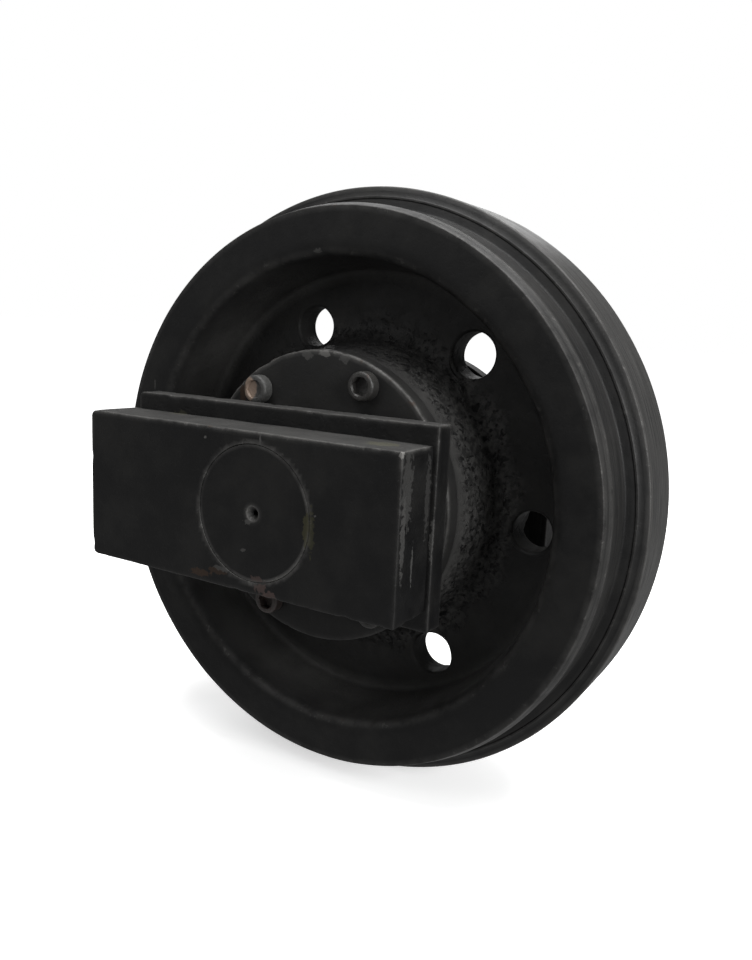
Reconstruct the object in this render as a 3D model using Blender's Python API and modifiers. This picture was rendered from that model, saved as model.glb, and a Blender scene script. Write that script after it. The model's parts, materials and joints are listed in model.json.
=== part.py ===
"""Front idler of a crawler undercarriage: the large roller that carries the chain at the end of its frame.

A cast wheel turns on a fixed shaft, and a support block holds each end of the shaft.
Units are metres. The wheel turns about +Y, and the origin is at the wheel's centre.
The front side is -Y. Heights along the axis are counted outwards from the wheel's centre plane.
"""

import math

import bmesh
import bpy
from mathutils import Matrix, Vector

FRONT, REAR = -1, 1
SIDES = {"front": FRONT, "rear": REAR}

GAP = 0.0003
STEPS = 32
WHEEL_STEPS = 48
MERGE_DISTANCE = 0.0001

# Wheel: rim, central guide flange, web and hub
TREAD_RADIUS = 0.250
FLANGE_RADIUS = 0.269
WHEEL_HALF_WIDTH = 0.079
FLANGE_HALF_WIDTH = 0.0303
FLANGE_FOOT_HALF_WIDTH = 0.0365
FLANGE_EDGE = 0.0015
RIM_CHAMFER_DEPTH = 0.0034
RIM_CHAMFER_LENGTH = 0.0105
RIM_INNER_RADIUS = 0.206
RIM_LIP_ROUNDING = 0.007
RIM_FOOT_RADIUS = 0.200
WEB_HALF_THICKNESS = 0.014
WEB_FILLET = 0.016
HUB_HALF_WIDTH = 0.077
HUB_FACE_RADIUS = 0.1245
HUB_FOOT_RADIUS = 0.138
HUB_BORE_RADIUS = 0.0623
OIL_CHAMBER_RADIUS = 0.066
OIL_CHAMBER_HALF_WIDTH = 0.009
WEB_HOLES = (  # (angle, distance from the axis, radius) of each, uneven as cores set by hand are
    (-5.8, 0.1685, 0.018),
    (51.5, 0.164, 0.0203),
    (114, 0.1595, 0.019),
    (174, 0.1655, 0.0203),
    (234, 0.1655, 0.0203),
    (298.5, 0.1685, 0.0195),
)
WEB_HOLE_STEPS = 16

# Shaft and its bushings
SHAFT_RADIUS = 0.055
SHAFT_HALF_LENGTH = 0.1805
SHAFT_CHAMFER = 0.0008
SHAFT_BORE_RADIUS = SHAFT_RADIUS + GAP
BUSHING_INNER_END = 0.010
BUSHING_COLLAR_RADIUS = 0.072
BUSHING_COLLAR_SEAT = 0.072
BUSHING_COLLAR_TOP = HUB_HALF_WIDTH - GAP
CENTRE_HOLE_RADIUS = 0.0058
CENTRE_HOLE_CONE_DEPTH = 0.006
PILOT_HOLE_RADIUS = 0.0022
PILOT_HOLE_DEPTH = 0.014
OIL_BORE_RADIUS = 0.005
OIL_CROSS_BORE_RADIUS = 0.004
OIL_PLUG_RADIUS = 0.010
OIL_PLUG_LENGTH = 0.016
OIL_PLUG_KEY_WIDTH = 0.008

# Hub covers and their bolts
COVER_RADIUS = 0.1275
COVER_INNER_HEIGHT = HUB_HALF_WIDTH + GAP
COVER_OUTER_HEIGHT = 0.0936
COVER_CHAMFER = 0.002
COVER_BORE_RADIUS = 0.0572
BOLT_COUNT = 6
BOLT_CIRCLE = 0.110
BOLT_FIRST_ANGLE = 5.6
BOLT_STEPS = 12
BOLT_RADIUS = 0.0078
BOLT_HEAD_RADIUS = 0.0125
BOLT_HEAD_HEIGHT = 0.011
BOLT_HEAD_TOP = COVER_OUTER_HEIGHT + GAP + BOLT_HEAD_HEIGHT
BOLT_TIP = 0.050
BOLT_KEY_WIDTH = 0.014
BOLT_KEY_DEPTH = 0.007
BOLT_HOLE_RADIUS = 0.0083
BOLT_HOLE_END = 0.046

# Floating seals: a rotating and a fixed metal ring, each carried by a rubber ring
SEAL_PLANE = 0.0946
SEAL_FACE_GAP = 0.00015
SEAL_RING_INNER_RADIUS = 0.058
SEAL_RING_OUTER_RADIUS = 0.0655
SEAL_RING_NECK_RADIUS = 0.062
SEAL_RING_FACE_THICKNESS = 0.0022
SEAL_RING_THICKNESS = 0.0076
SEAL_HOUSING_DEPTH = 0.0085
SEAL_HOUSING_MOUTH_RADIUS = 0.0722
SEAL_HOUSING_FLOOR_RADIUS = 0.0709
RUBBER_RING_RADIUS = 0.0674
RUBBER_RING_SECTION = 0.0029
RUBBER_RING_OFFSET = 0.0052
RUBBER_SIDES = 5

# Plain O-rings
COVER_GROOVE_INNER = 0.088
COVER_GROOVE_OUTER = 0.093
COVER_GROOVE_DEPTH = 0.0036
COVER_RING_SECTION = 0.0016
SHAFT_GROOVE_HEIGHT = 0.120
SHAFT_GROOVE_WIDTH = 0.0044
SHAFT_GROOVE_RADIUS = 0.051
SHAFT_RING_SECTION = 0.0018

# Support blocks: a stepped body that slides between the frame's guides, with a round boss
BLOCK_TO_YOKE = -0.184
BLOCK_TO_NOSE = 0.132
BLOCK_HALF_HEIGHT = 0.065
BLOCK_OUTER_HEIGHT = 0.181
BLOCK_STEP_HEIGHT = 0.135
PLATE_TO_YOKE = -0.173
PLATE_TO_NOSE = 0.136
PLATE_HALF_HEIGHT = 0.080
PLATE_INNER_HEIGHT = 0.1147
BLOCK_EDGE_RADIUS = 0.0025
PLATE_EDGE_RADIUS = 0.002
BOSS_RADIUS = 0.0765
BOSS_INNER_HEIGHT = 0.0956
JOIN_OVERLAP = 0.004
YOKE_HOLE_RADIUS = 0.008
YOKE_HOLE_DEPTH = 0.034
YOKE_HOLE_SPACING = 0.070

# Lock pins, one from the underside of each block into the shaft
PIN_RADIUS = 0.008
PIN_HOLE_RADIUS = PIN_RADIUS + GAP
PIN_HEIGHT = 0.1585
PIN_LOWER_END = -0.063
PIN_UPPER_END = -0.015

CUT_MARGIN = 0.010

MATERIALS = {
    "painted_cast_steel": ((0.020, 0.020, 0.021), 0.55, 0.0),
    "painted_shaft_steel": ((0.022, 0.022, 0.023), 0.45, 0.0),
    "rusty_steel": ((0.20, 0.12, 0.08), 0.75, 0.3),
    "bronze": ((0.55, 0.36, 0.16), 0.35, 1.0),
    "seal_iron": ((0.25, 0.25, 0.26), 0.25, 1.0),
    "rubber": ((0.02, 0.02, 0.02), 0.85, 0.0),
}


def clear_scene():
    for obj in list(bpy.data.objects):
        bpy.data.objects.remove(obj, do_unlink=True)


def new_collection(name):
    collection = bpy.data.collections.new(name)
    bpy.context.scene.collection.children.link(collection)
    return collection


def new_material(name, colour, roughness, metallic):
    material = bpy.data.materials.new(name)
    material.use_nodes = True
    shader = material.node_tree.nodes["Principled BSDF"]
    shader.inputs["Base Color"].default_value = (*colour, 1.0)
    shader.inputs["Roughness"].default_value = roughness
    shader.inputs["Metallic"].default_value = metallic
    return material


def new_object(name, mesh, collection, material=None, parent=None):
    """An object holding the mesh. With no material it is a cutter or a joined shape, which isn't a part."""
    obj = bpy.data.objects.new(name, mesh)
    collection.objects.link(obj)
    if material is None:
        obj.hide_render = True
        obj.display_type = "WIRE"
    else:
        mesh.materials.append(material)
    obj.parent = parent
    return obj


def along_axis(side):
    """The turn that points local +Z outwards on this side of the wheel."""
    return Matrix.Rotation(-side * math.pi / 2, 4, "X")


def point_at(radius, degrees, height, side):
    """A point on a circle round the shaft, as seen from the front."""
    angle = math.radians(degrees)
    return Vector((radius * math.cos(angle), side * height, radius * math.sin(angle)))


def turned(name, outline, side, collection, material, parent=None, steps=STEPS):
    """A piece turned from (radius, height) points, listed clockwise: down the outside, then up the inside."""
    mesh = bpy.data.meshes.new(name)
    reaches_axis = outline[0][0] == 0
    count = len(outline)
    edges = [(i, (i + 1) % count) for i in range(count - 1 if reaches_axis else count)]
    mesh.from_pydata([(radius, 0, height) for radius, height in outline], edges, [])
    obj = new_object(name, mesh, collection, material, parent)
    obj.matrix_world = along_axis(side)
    screw = obj.modifiers.new("turn", "SCREW")
    screw.steps = steps
    screw.render_steps = steps
    screw.use_merge_vertices = True
    screw.merge_threshold = MERGE_DISTANCE
    return obj


def round_section(centre_radius, centre_height, section_radius, sides=RUBBER_SIDES):
    """A clockwise circle as a turned outline."""
    angles = [-2 * math.pi * (i + 0.5) / sides for i in range(sides)]
    return [
        (centre_radius + section_radius * math.cos(a), centre_height + section_radius * math.sin(a))
        for a in angles
    ]


def rods(name, places, radius, length, steps, collection):
    """Round rods in one mesh, each centred on its place and lying along its direction."""
    shape = bmesh.new()
    for centre, direction in places:
        turn = direction.to_track_quat("Z", "Y").to_matrix().to_4x4()
        bmesh.ops.create_cone(
            shape,
            cap_ends=True,
            segments=steps,
            radius1=radius,
            radius2=radius,
            depth=length,
            matrix=Matrix.Translation(centre) @ turn,
        )
    mesh = bpy.data.meshes.new(name)
    shape.to_mesh(mesh)
    shape.free()
    return new_object(name, mesh, collection)


def box(name, low, high, collection, material=None, edge_radius=0.0):
    shape = bmesh.new()
    bmesh.ops.create_cube(shape, size=1)
    centre = (Vector(low) + Vector(high)) / 2
    size = Vector(high) - Vector(low)
    place = Matrix.Translation(centre) @ Matrix.Diagonal((*size, 1))
    bmesh.ops.transform(shape, matrix=place, verts=shape.verts)
    mesh = bpy.data.meshes.new(name)
    shape.to_mesh(mesh)
    shape.free()
    obj = new_object(name, mesh, collection, material)
    if edge_radius:
        bevel = obj.modifiers.new("edges", "BEVEL")
        bevel.width = edge_radius
    return obj


def combine(obj, other, operation):
    boolean = obj.modifiers.new(other.name, "BOOLEAN")
    boolean.operation = operation
    boolean.object = other


def span(start, end, side):
    """The centre and length of a stretch between two heights, for a rod on this side."""
    return side * (start + end) / 2, abs(end - start)


def fillet(centre_radius, start, end):
    """The rounding where the web meets the hub or the rim, as three points of an arc."""
    centre_height = WEB_HALF_THICKNESS + WEB_FILLET
    angles = [math.radians(start + (end - start) * i / 2) for i in range(3)]
    return [
        (centre_radius + WEB_FILLET * math.cos(a), centre_height + WEB_FILLET * math.sin(a)) for a in angles
    ]


def half_outline_outside():
    """The wheel's outside from its face down to the centre plane: chamfer, tread and guide flange."""
    return [
        (TREAD_RADIUS - RIM_CHAMFER_DEPTH, WHEEL_HALF_WIDTH),
        (TREAD_RADIUS, WHEEL_HALF_WIDTH - RIM_CHAMFER_LENGTH),
        (TREAD_RADIUS, FLANGE_FOOT_HALF_WIDTH),
        ((TREAD_RADIUS + FLANGE_RADIUS) / 2, FLANGE_HALF_WIDTH + 2 * FLANGE_EDGE),
        (FLANGE_RADIUS - FLANGE_EDGE, FLANGE_HALF_WIDTH + FLANGE_EDGE),
        (FLANGE_RADIUS, FLANGE_HALF_WIDTH),
    ]


def half_outline_inside():
    """The wheel's inside from the centre plane up to its face: bore, hub, web and rim."""
    return [
        (OIL_CHAMBER_RADIUS, OIL_CHAMBER_HALF_WIDTH),
        (HUB_BORE_RADIUS, OIL_CHAMBER_HALF_WIDTH),
        (HUB_BORE_RADIUS, BUSHING_COLLAR_SEAT),
        (BUSHING_COLLAR_RADIUS + GAP, BUSHING_COLLAR_SEAT),
        (BUSHING_COLLAR_RADIUS + GAP, HUB_HALF_WIDTH),
        (HUB_FACE_RADIUS, HUB_HALF_WIDTH),
        *fillet(HUB_FOOT_RADIUS + WEB_FILLET, 180, 270),
        *fillet(RIM_FOOT_RADIUS - WEB_FILLET, 270, 360),
        (RIM_INNER_RADIUS, WHEEL_HALF_WIDTH - RIM_LIP_ROUNDING),
        (RIM_INNER_RADIUS + RIM_LIP_ROUNDING, WHEEL_HALF_WIDTH),
    ]


def wheel_outline():
    outside = half_outline_outside()
    inside = half_outline_inside()
    far_outside = [(radius, -height) for radius, height in reversed(outside)]
    far_inside = [(radius, -height) for radius, height in reversed(inside)]
    return outside + far_outside + far_inside + inside


def bolt_angles():
    return [BOLT_FIRST_ANGLE + 360 / BOLT_COUNT * i for i in range(BOLT_COUNT)]


def bolt_rods(name, start, end, radius, side, cutters):
    """Rods on the bolt circle between two heights."""
    centre, length = span(start, end, side)
    places = [
        (point_at(BOLT_CIRCLE, angle, abs(centre), side), Vector((0, 1, 0))) for angle in bolt_angles()
    ]
    return rods(name, places, radius, length, BOLT_STEPS, cutters)


def make_wheel(parts, cutters, materials, axle):
    wheel = turned(
        "idler_wheel", wheel_outline(), REAR, parts, materials["painted_cast_steel"], axle, WHEEL_STEPS
    )
    for number, (angle, distance, radius) in enumerate(WEB_HOLES, 1):
        place = [(point_at(distance, angle, 0, REAR), Vector((0, 1, 0)))]
        hole = rods(f"web_hole_{number}", place, radius, HUB_HALF_WIDTH, WEB_HOLE_STEPS, cutters)
        combine(wheel, hole, "DIFFERENCE")
    for word, side in SIDES.items():
        mouth = HUB_HALF_WIDTH + CUT_MARGIN
        threads = bolt_rods(word + "_thread_holes", BOLT_HOLE_END, mouth, BOLT_HOLE_RADIUS, side, cutters)
        combine(wheel, threads, "DIFFERENCE")


def shaft_outline():
    """The shaft from its rear end to its front end, with a groove for each shaft O-ring."""
    half = [
        (0, SHAFT_HALF_LENGTH),
        (SHAFT_RADIUS - SHAFT_CHAMFER, SHAFT_HALF_LENGTH),
        (SHAFT_RADIUS, SHAFT_HALF_LENGTH - SHAFT_CHAMFER),
        (SHAFT_RADIUS, SHAFT_GROOVE_HEIGHT + SHAFT_GROOVE_WIDTH / 2),
        (SHAFT_GROOVE_RADIUS, SHAFT_GROOVE_HEIGHT + SHAFT_GROOVE_WIDTH / 2),
        (SHAFT_GROOVE_RADIUS, SHAFT_GROOVE_HEIGHT - SHAFT_GROOVE_WIDTH / 2),
        (SHAFT_RADIUS, SHAFT_GROOVE_HEIGHT - SHAFT_GROOVE_WIDTH / 2),
    ]
    return half + [(radius, -height) for radius, height in reversed(half)]


def centre_hole_outline():
    """The cutter of the centre-drilled hole: a cone, then a pilot."""
    mouth = SHAFT_HALF_LENGTH
    slope = CENTRE_HOLE_RADIUS / CENTRE_HOLE_CONE_DEPTH
    return [
        (0, mouth + CUT_MARGIN),
        (CENTRE_HOLE_RADIUS + slope * CUT_MARGIN, mouth + CUT_MARGIN),
        (CENTRE_HOLE_RADIUS, mouth),
        (PILOT_HOLE_RADIUS, mouth - CENTRE_HOLE_CONE_DEPTH + PILOT_HOLE_RADIUS / slope),
        (PILOT_HOLE_RADIUS, mouth - PILOT_HOLE_DEPTH),
        (0, mouth - PILOT_HOLE_DEPTH),
    ]


def pin_place(side, low, high):
    return [(Vector((0, side * PIN_HEIGHT, (low + high) / 2)), Vector((0, 0, 1)))]


def make_shaft(parts, cutters, materials):
    shaft = turned("shaft", shaft_outline(), REAR, parts, materials["painted_shaft_steel"])
    centre = turned("centre_hole", centre_hole_outline(), FRONT, cutters, None, steps=WEB_HOLE_STEPS)
    combine(shaft, centre, "DIFFERENCE")
    oil_way = [(Vector((0, SHAFT_HALF_LENGTH / 2, 0)), Vector((0, 1, 0)))]
    bore = rods("oil_bore", oil_way, OIL_BORE_RADIUS, SHAFT_HALF_LENGTH, BOLT_STEPS, cutters)
    combine(shaft, bore, "DIFFERENCE")
    cross_length = SHAFT_RADIUS + CUT_MARGIN
    cross_way = [(Vector((0, OIL_BORE_RADIUS, cross_length / 2)), Vector((0, 0, 1)))]
    cross = rods("oil_cross_bore", cross_way, OIL_CROSS_BORE_RADIUS, cross_length, BOLT_STEPS, cutters)
    combine(shaft, cross, "DIFFERENCE")
    seat_start = SHAFT_HALF_LENGTH - OIL_PLUG_LENGTH - 2 * GAP
    middle, length = span(seat_start, SHAFT_HALF_LENGTH + CUT_MARGIN, REAR)
    seat_place = [(Vector((0, middle, 0)), Vector((0, 1, 0)))]
    seat = rods("oil_plug_seat", seat_place, OIL_PLUG_RADIUS + GAP, length, BOLT_STEPS, cutters)
    combine(shaft, seat, "DIFFERENCE")
    for word, side in SIDES.items():
        bottom = -SHAFT_RADIUS - CUT_MARGIN
        place = pin_place(side, bottom, PIN_UPPER_END)
        length = PIN_UPPER_END - bottom
        hole = rods(word + "_shaft_pin_hole", place, PIN_HOLE_RADIUS, length, BOLT_STEPS, cutters)
        combine(shaft, hole, "DIFFERENCE")


def make_oil_plug(parts, cutters, materials):
    top = SHAFT_HALF_LENGTH - GAP
    bottom = top - OIL_PLUG_LENGTH
    outline = [(0, top), (OIL_PLUG_RADIUS, top), (OIL_PLUG_RADIUS, bottom), (0, bottom)]
    plug = turned("oil_plug", outline, REAR, parts, materials["painted_shaft_steel"], steps=BOLT_STEPS)
    place = [(Vector((0, top, 0)), Vector((0, 1, 0)))]
    key = rods("oil_plug_key", place, OIL_PLUG_KEY_WIDTH / math.sqrt(3), OIL_PLUG_LENGTH, 6, cutters)
    combine(plug, key, "DIFFERENCE")


def make_bushing(word, side, parts, materials, axle):
    body = HUB_BORE_RADIUS - GAP
    outline = [
        (BUSHING_COLLAR_RADIUS, BUSHING_COLLAR_TOP),
        (BUSHING_COLLAR_RADIUS, BUSHING_COLLAR_SEAT + GAP),
        (body, BUSHING_COLLAR_SEAT + GAP),
        (body, BUSHING_INNER_END),
        (SHAFT_BORE_RADIUS, BUSHING_INNER_END),
        (SHAFT_BORE_RADIUS, BUSHING_COLLAR_TOP),
    ]
    turned(word + "_bushing", outline, side, parts, materials["bronze"], axle)


def make_cover(word, side, parts, cutters, materials, axle):
    floor = SEAL_PLANE - SEAL_HOUSING_DEPTH
    groove_top = COVER_INNER_HEIGHT + COVER_GROOVE_DEPTH
    outline = [
        (COVER_RADIUS - COVER_CHAMFER, COVER_OUTER_HEIGHT),
        (COVER_RADIUS, COVER_OUTER_HEIGHT - COVER_CHAMFER),
        (COVER_RADIUS, COVER_INNER_HEIGHT),
        (COVER_GROOVE_OUTER, COVER_INNER_HEIGHT),
        (COVER_GROOVE_OUTER, groove_top),
        (COVER_GROOVE_INNER, groove_top),
        (COVER_GROOVE_INNER, COVER_INNER_HEIGHT),
        (COVER_BORE_RADIUS, COVER_INNER_HEIGHT),
        (COVER_BORE_RADIUS, floor),
        (SEAL_HOUSING_FLOOR_RADIUS, floor),
        (SEAL_HOUSING_MOUTH_RADIUS, COVER_OUTER_HEIGHT),
    ]
    cover = turned(word + "_hub_cover", outline, side, parts, materials["painted_cast_steel"], axle)
    low = COVER_INNER_HEIGHT - CUT_MARGIN
    high = COVER_OUTER_HEIGHT + CUT_MARGIN
    combine(cover, bolt_rods(word + "_cover_holes", low, high, BOLT_HOLE_RADIUS, side, cutters), "DIFFERENCE")
    ring_radius = (COVER_GROOVE_INNER + COVER_GROOVE_OUTER) / 2
    ring = round_section(ring_radius, COVER_INNER_HEIGHT + COVER_GROOVE_DEPTH / 2, COVER_RING_SECTION)
    turned(word + "_cover_o_ring", ring, side, parts, materials["rubber"], axle)


def bolt_outline():
    seat = BOLT_HEAD_TOP - BOLT_HEAD_HEIGHT
    return [
        (0, BOLT_HEAD_TOP),
        (BOLT_HEAD_RADIUS, BOLT_HEAD_TOP),
        (BOLT_HEAD_RADIUS, seat),
        (BOLT_RADIUS, seat),
        (BOLT_RADIUS, BOLT_TIP),
        (0, BOLT_TIP),
    ]


def make_bolts(word, side, parts, cutters, materials, axle):
    for number, angle in enumerate(bolt_angles(), 1):
        name = f"{word}_cover_bolt_{number}"
        place = Matrix.Translation(point_at(BOLT_CIRCLE, angle, 0, side))
        bolt = turned(name, bolt_outline(), side, parts, materials["rusty_steel"], axle, BOLT_STEPS)
        bolt.matrix_world = place @ along_axis(side)
        key_place = [(point_at(BOLT_CIRCLE, angle, BOLT_HEAD_TOP, side), Vector((0, 1, 0)))]
        key = rods(name + "_key", key_place, BOLT_KEY_WIDTH / math.sqrt(3), 2 * BOLT_KEY_DEPTH, 6, cutters)
        combine(bolt, key, "DIFFERENCE")


def seal_outlines(outward):
    """The metal and rubber rings' outlines on one side of the seal's plane. The fixed side's outward is 1."""
    face = SEAL_PLANE + outward * SEAL_FACE_GAP
    metal = [
        (SEAL_RING_OUTER_RADIUS, face),
        (SEAL_RING_OUTER_RADIUS, face + outward * SEAL_RING_FACE_THICKNESS),
        (SEAL_RING_NECK_RADIUS, face + outward * SEAL_RING_THICKNESS),
        (SEAL_RING_INNER_RADIUS, face + outward * SEAL_RING_THICKNESS),
        (SEAL_RING_INNER_RADIUS, face),
    ]
    rubber = round_section(RUBBER_RING_RADIUS, SEAL_PLANE + outward * RUBBER_RING_OFFSET, RUBBER_RING_SECTION)
    return (metal[::-1] if outward > 0 else metal), rubber


def make_seal(word, side, parts, materials, axle):
    for kind, outward, parent in (("rotating", -1, axle), ("fixed", 1, None)):
        metal, rubber = seal_outlines(outward)
        turned(f"{word}_{kind}_seal_ring", metal, side, parts, materials["seal_iron"], parent)
        turned(f"{word}_{kind}_rubber_ring", rubber, side, parts, materials["rubber"], parent)


def side_box(name, x_range, heights, half_height, side, collection, material=None, edge_radius=0.0):
    low_y, high_y = sorted(side * height for height in heights)
    low = (x_range[0], low_y, -half_height)
    high = (x_range[1], high_y, half_height)
    return box(name, low, high, collection, material, edge_radius)


def housing_outline():
    """The cutter of the shaft's bore and the fixed seal's housing in a support block."""
    floor = SEAL_PLANE + SEAL_HOUSING_DEPTH
    mouth = BOSS_INNER_HEIGHT
    slope = (SEAL_HOUSING_MOUTH_RADIUS - SEAL_HOUSING_FLOOR_RADIUS) / (floor - mouth)
    outer = BLOCK_OUTER_HEIGHT + CUT_MARGIN
    return [
        (0, outer),
        (SHAFT_BORE_RADIUS, outer),
        (SHAFT_BORE_RADIUS, floor),
        (SEAL_HOUSING_FLOOR_RADIUS, floor),
        (SEAL_HOUSING_MOUTH_RADIUS + slope * CUT_MARGIN, mouth - CUT_MARGIN),
        (0, mouth - CUT_MARGIN),
    ]


def make_block(word, side, parts, cutters, materials):
    name = word + "_support_block"
    body = side_box(
        name,
        (BLOCK_TO_YOKE, BLOCK_TO_NOSE),
        (BLOCK_STEP_HEIGHT - JOIN_OVERLAP - BLOCK_EDGE_RADIUS, BLOCK_OUTER_HEIGHT),
        BLOCK_HALF_HEIGHT,
        side,
        parts,
        materials["painted_cast_steel"],
        BLOCK_EDGE_RADIUS,
    )
    plate = side_box(
        word + "_guide_plate",
        (PLATE_TO_YOKE, PLATE_TO_NOSE),
        (PLATE_INNER_HEIGHT, BLOCK_STEP_HEIGHT),
        PLATE_HALF_HEIGHT,
        side,
        cutters,
        edge_radius=PLATE_EDGE_RADIUS,
    )
    combine(body, plate, "UNION")
    middle, length = span(BOSS_INNER_HEIGHT, PLATE_INNER_HEIGHT + JOIN_OVERLAP, side)
    along_y = Vector((0, 1, 0))
    boss = rods(word + "_boss", [(Vector((0, middle, 0)), along_y)], BOSS_RADIUS, length, STEPS, cutters)
    combine(body, boss, "UNION")
    combine(body, turned(word + "_housing", housing_outline(), side, cutters, None), "DIFFERENCE")
    bottom = -BLOCK_HALF_HEIGHT - CUT_MARGIN
    pin_hole = rods(
        word + "_pin_hole", pin_place(side, bottom, 0), PIN_HOLE_RADIUS, -bottom, BOLT_STEPS, cutters
    )
    combine(body, pin_hole, "DIFFERENCE")
    hole_length = 2 * YOKE_HOLE_DEPTH
    yoke_places = [
        (Vector((BLOCK_TO_YOKE, side * PIN_HEIGHT, way * YOKE_HOLE_SPACING / 2)), Vector((1, 0, 0)))
        for way in (-1, 1)
    ]
    yoke = rods(word + "_yoke_holes", yoke_places, YOKE_HOLE_RADIUS, hole_length, BOLT_STEPS, cutters)
    combine(body, yoke, "DIFFERENCE")


def make_lock_pin(word, side, parts, materials):
    upper_end = PIN_UPPER_END - GAP
    place = pin_place(side, PIN_LOWER_END, upper_end)
    length = upper_end - PIN_LOWER_END
    pin = rods(word + "_lock_pin", place, PIN_RADIUS, length, BOLT_STEPS, parts)
    pin.data.materials.append(materials["rusty_steel"])
    pin.hide_render = False
    pin.display_type = "TEXTURED"


def make_shaft_ring(word, side, parts, materials):
    middle = SHAFT_GROOVE_RADIUS + SHAFT_RING_SECTION + GAP
    ring = round_section(middle, SHAFT_GROOVE_HEIGHT, SHAFT_RING_SECTION)
    turned(word + "_shaft_o_ring", ring, side, parts, materials["rubber"])


def smooth_round_pieces(parts):
    for obj in parts.objects:
        if obj.type == "MESH":
            obj.data.shade_smooth()
            obj.data.set_sharp_from_angle(angle=math.radians(30))


def main():
    clear_scene()
    parts = new_collection("front_idler")
    cutters = new_collection("cutters")
    cutters.hide_render = True
    materials = {name: new_material(name, *values) for name, values in MATERIALS.items()}
    axle = bpy.data.objects.new("wheel_axis", None)
    parts.objects.link(axle)
    make_wheel(parts, cutters, materials, axle)
    make_shaft(parts, cutters, materials)
    make_oil_plug(parts, cutters, materials)
    for word, side in SIDES.items():
        make_bushing(word, side, parts, materials, axle)
        make_cover(word, side, parts, cutters, materials, axle)
        make_bolts(word, side, parts, cutters, materials, axle)
        make_seal(word, side, parts, materials, axle)
        make_block(word, side, parts, cutters, materials)
        make_lock_pin(word, side, parts, materials)
        make_shaft_ring(word, side, parts, materials)
    smooth_round_pieces(parts)


main()
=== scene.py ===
"""The visual model of a crawler's front idler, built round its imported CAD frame.

Everything is in metres in the CAD's frame: the wheel turns about +Y, the origin is its centre, and the front
is -Y. A height is a distance outwards along the axis, on the front or the rear side.
"""

import json
import math

import bmesh
import bpy
import numpy as np
from mathutils import Matrix, Vector

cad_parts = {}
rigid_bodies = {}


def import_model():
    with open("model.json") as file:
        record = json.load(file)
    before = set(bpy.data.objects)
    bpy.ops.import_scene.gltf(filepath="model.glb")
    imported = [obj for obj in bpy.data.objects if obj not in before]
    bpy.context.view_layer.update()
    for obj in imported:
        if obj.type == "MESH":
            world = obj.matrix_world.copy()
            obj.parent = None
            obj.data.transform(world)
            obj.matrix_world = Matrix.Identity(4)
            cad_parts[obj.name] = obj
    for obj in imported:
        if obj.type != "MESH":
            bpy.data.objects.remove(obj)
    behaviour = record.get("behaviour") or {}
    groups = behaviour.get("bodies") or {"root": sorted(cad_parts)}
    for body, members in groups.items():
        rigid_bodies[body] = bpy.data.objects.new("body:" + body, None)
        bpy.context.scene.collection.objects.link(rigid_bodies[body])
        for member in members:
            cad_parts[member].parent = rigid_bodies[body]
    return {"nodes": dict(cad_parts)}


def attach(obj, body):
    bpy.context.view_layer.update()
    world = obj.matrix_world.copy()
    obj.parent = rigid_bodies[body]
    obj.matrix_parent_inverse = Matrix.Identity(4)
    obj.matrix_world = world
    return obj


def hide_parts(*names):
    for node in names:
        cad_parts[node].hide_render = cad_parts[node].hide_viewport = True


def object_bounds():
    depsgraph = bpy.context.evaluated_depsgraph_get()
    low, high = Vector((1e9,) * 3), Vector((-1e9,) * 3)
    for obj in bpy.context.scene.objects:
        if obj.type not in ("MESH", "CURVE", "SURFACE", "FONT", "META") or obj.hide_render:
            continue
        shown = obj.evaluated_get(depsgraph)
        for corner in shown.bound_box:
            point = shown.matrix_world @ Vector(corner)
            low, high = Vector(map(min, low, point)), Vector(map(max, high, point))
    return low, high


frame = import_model()
CAD_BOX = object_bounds()

SIDES = {"front": -1, "rear": 1}
MM = 0.001

# Camera: where it stands and how it is turned
CAMERA_PLACE = (0.4125, -0.681, 0.150)
CAMERA_AZIMUTH = 31.05
CAMERA_ELEVATION = 10.43
CAMERA_ROLL = 2.83
CAMERA_SENSOR = 36.0
CAMERA_LENS = 31.57
CAMERA_CLIP = 0.02

# Light
LIGHTS = (  # (name, place, target, size, watts)
    ("overhead", (0.3, 0.1, 2.2), (0, 0, 0), (2.2, 2.2), 85),
    ("right", (2.1, -0.75, 0.7), (0, 0, 0), (1.2, 1.2), 40),
    ("front_top", (-0.3, -1.7, 2.0), (0, 0, 0), (1.4, 1.4), 13),
    ("left_front", (-1.35, -1.95, 0.85), (0, 0, 0.1), (1.3, 0.8), 4),
    ("rear", (-0.9, 2.0, 1.1), (0, 0, 0), (1.4, 1.4), 14),
)
SKY_LOW = 0.48
SKY_HIGH = 0.12
SKY_RAMP = (-0.7, 0.1)  # the directions' Z between which the sky's strength changes
FLOOR_GAP = 0.0004
FLOOR_HALF_WIDTH = 30.0
FLOOR_GLOW = 0.55  # under the wheel
FLOOR_FAR_GLOW = 1.05  # where the floor meets the white backdrop
FLOOR_GLOW_RANGE = (0.4, 1.6)
WHITE = (1.0, 1.0, 1.0, 1.0)

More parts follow.
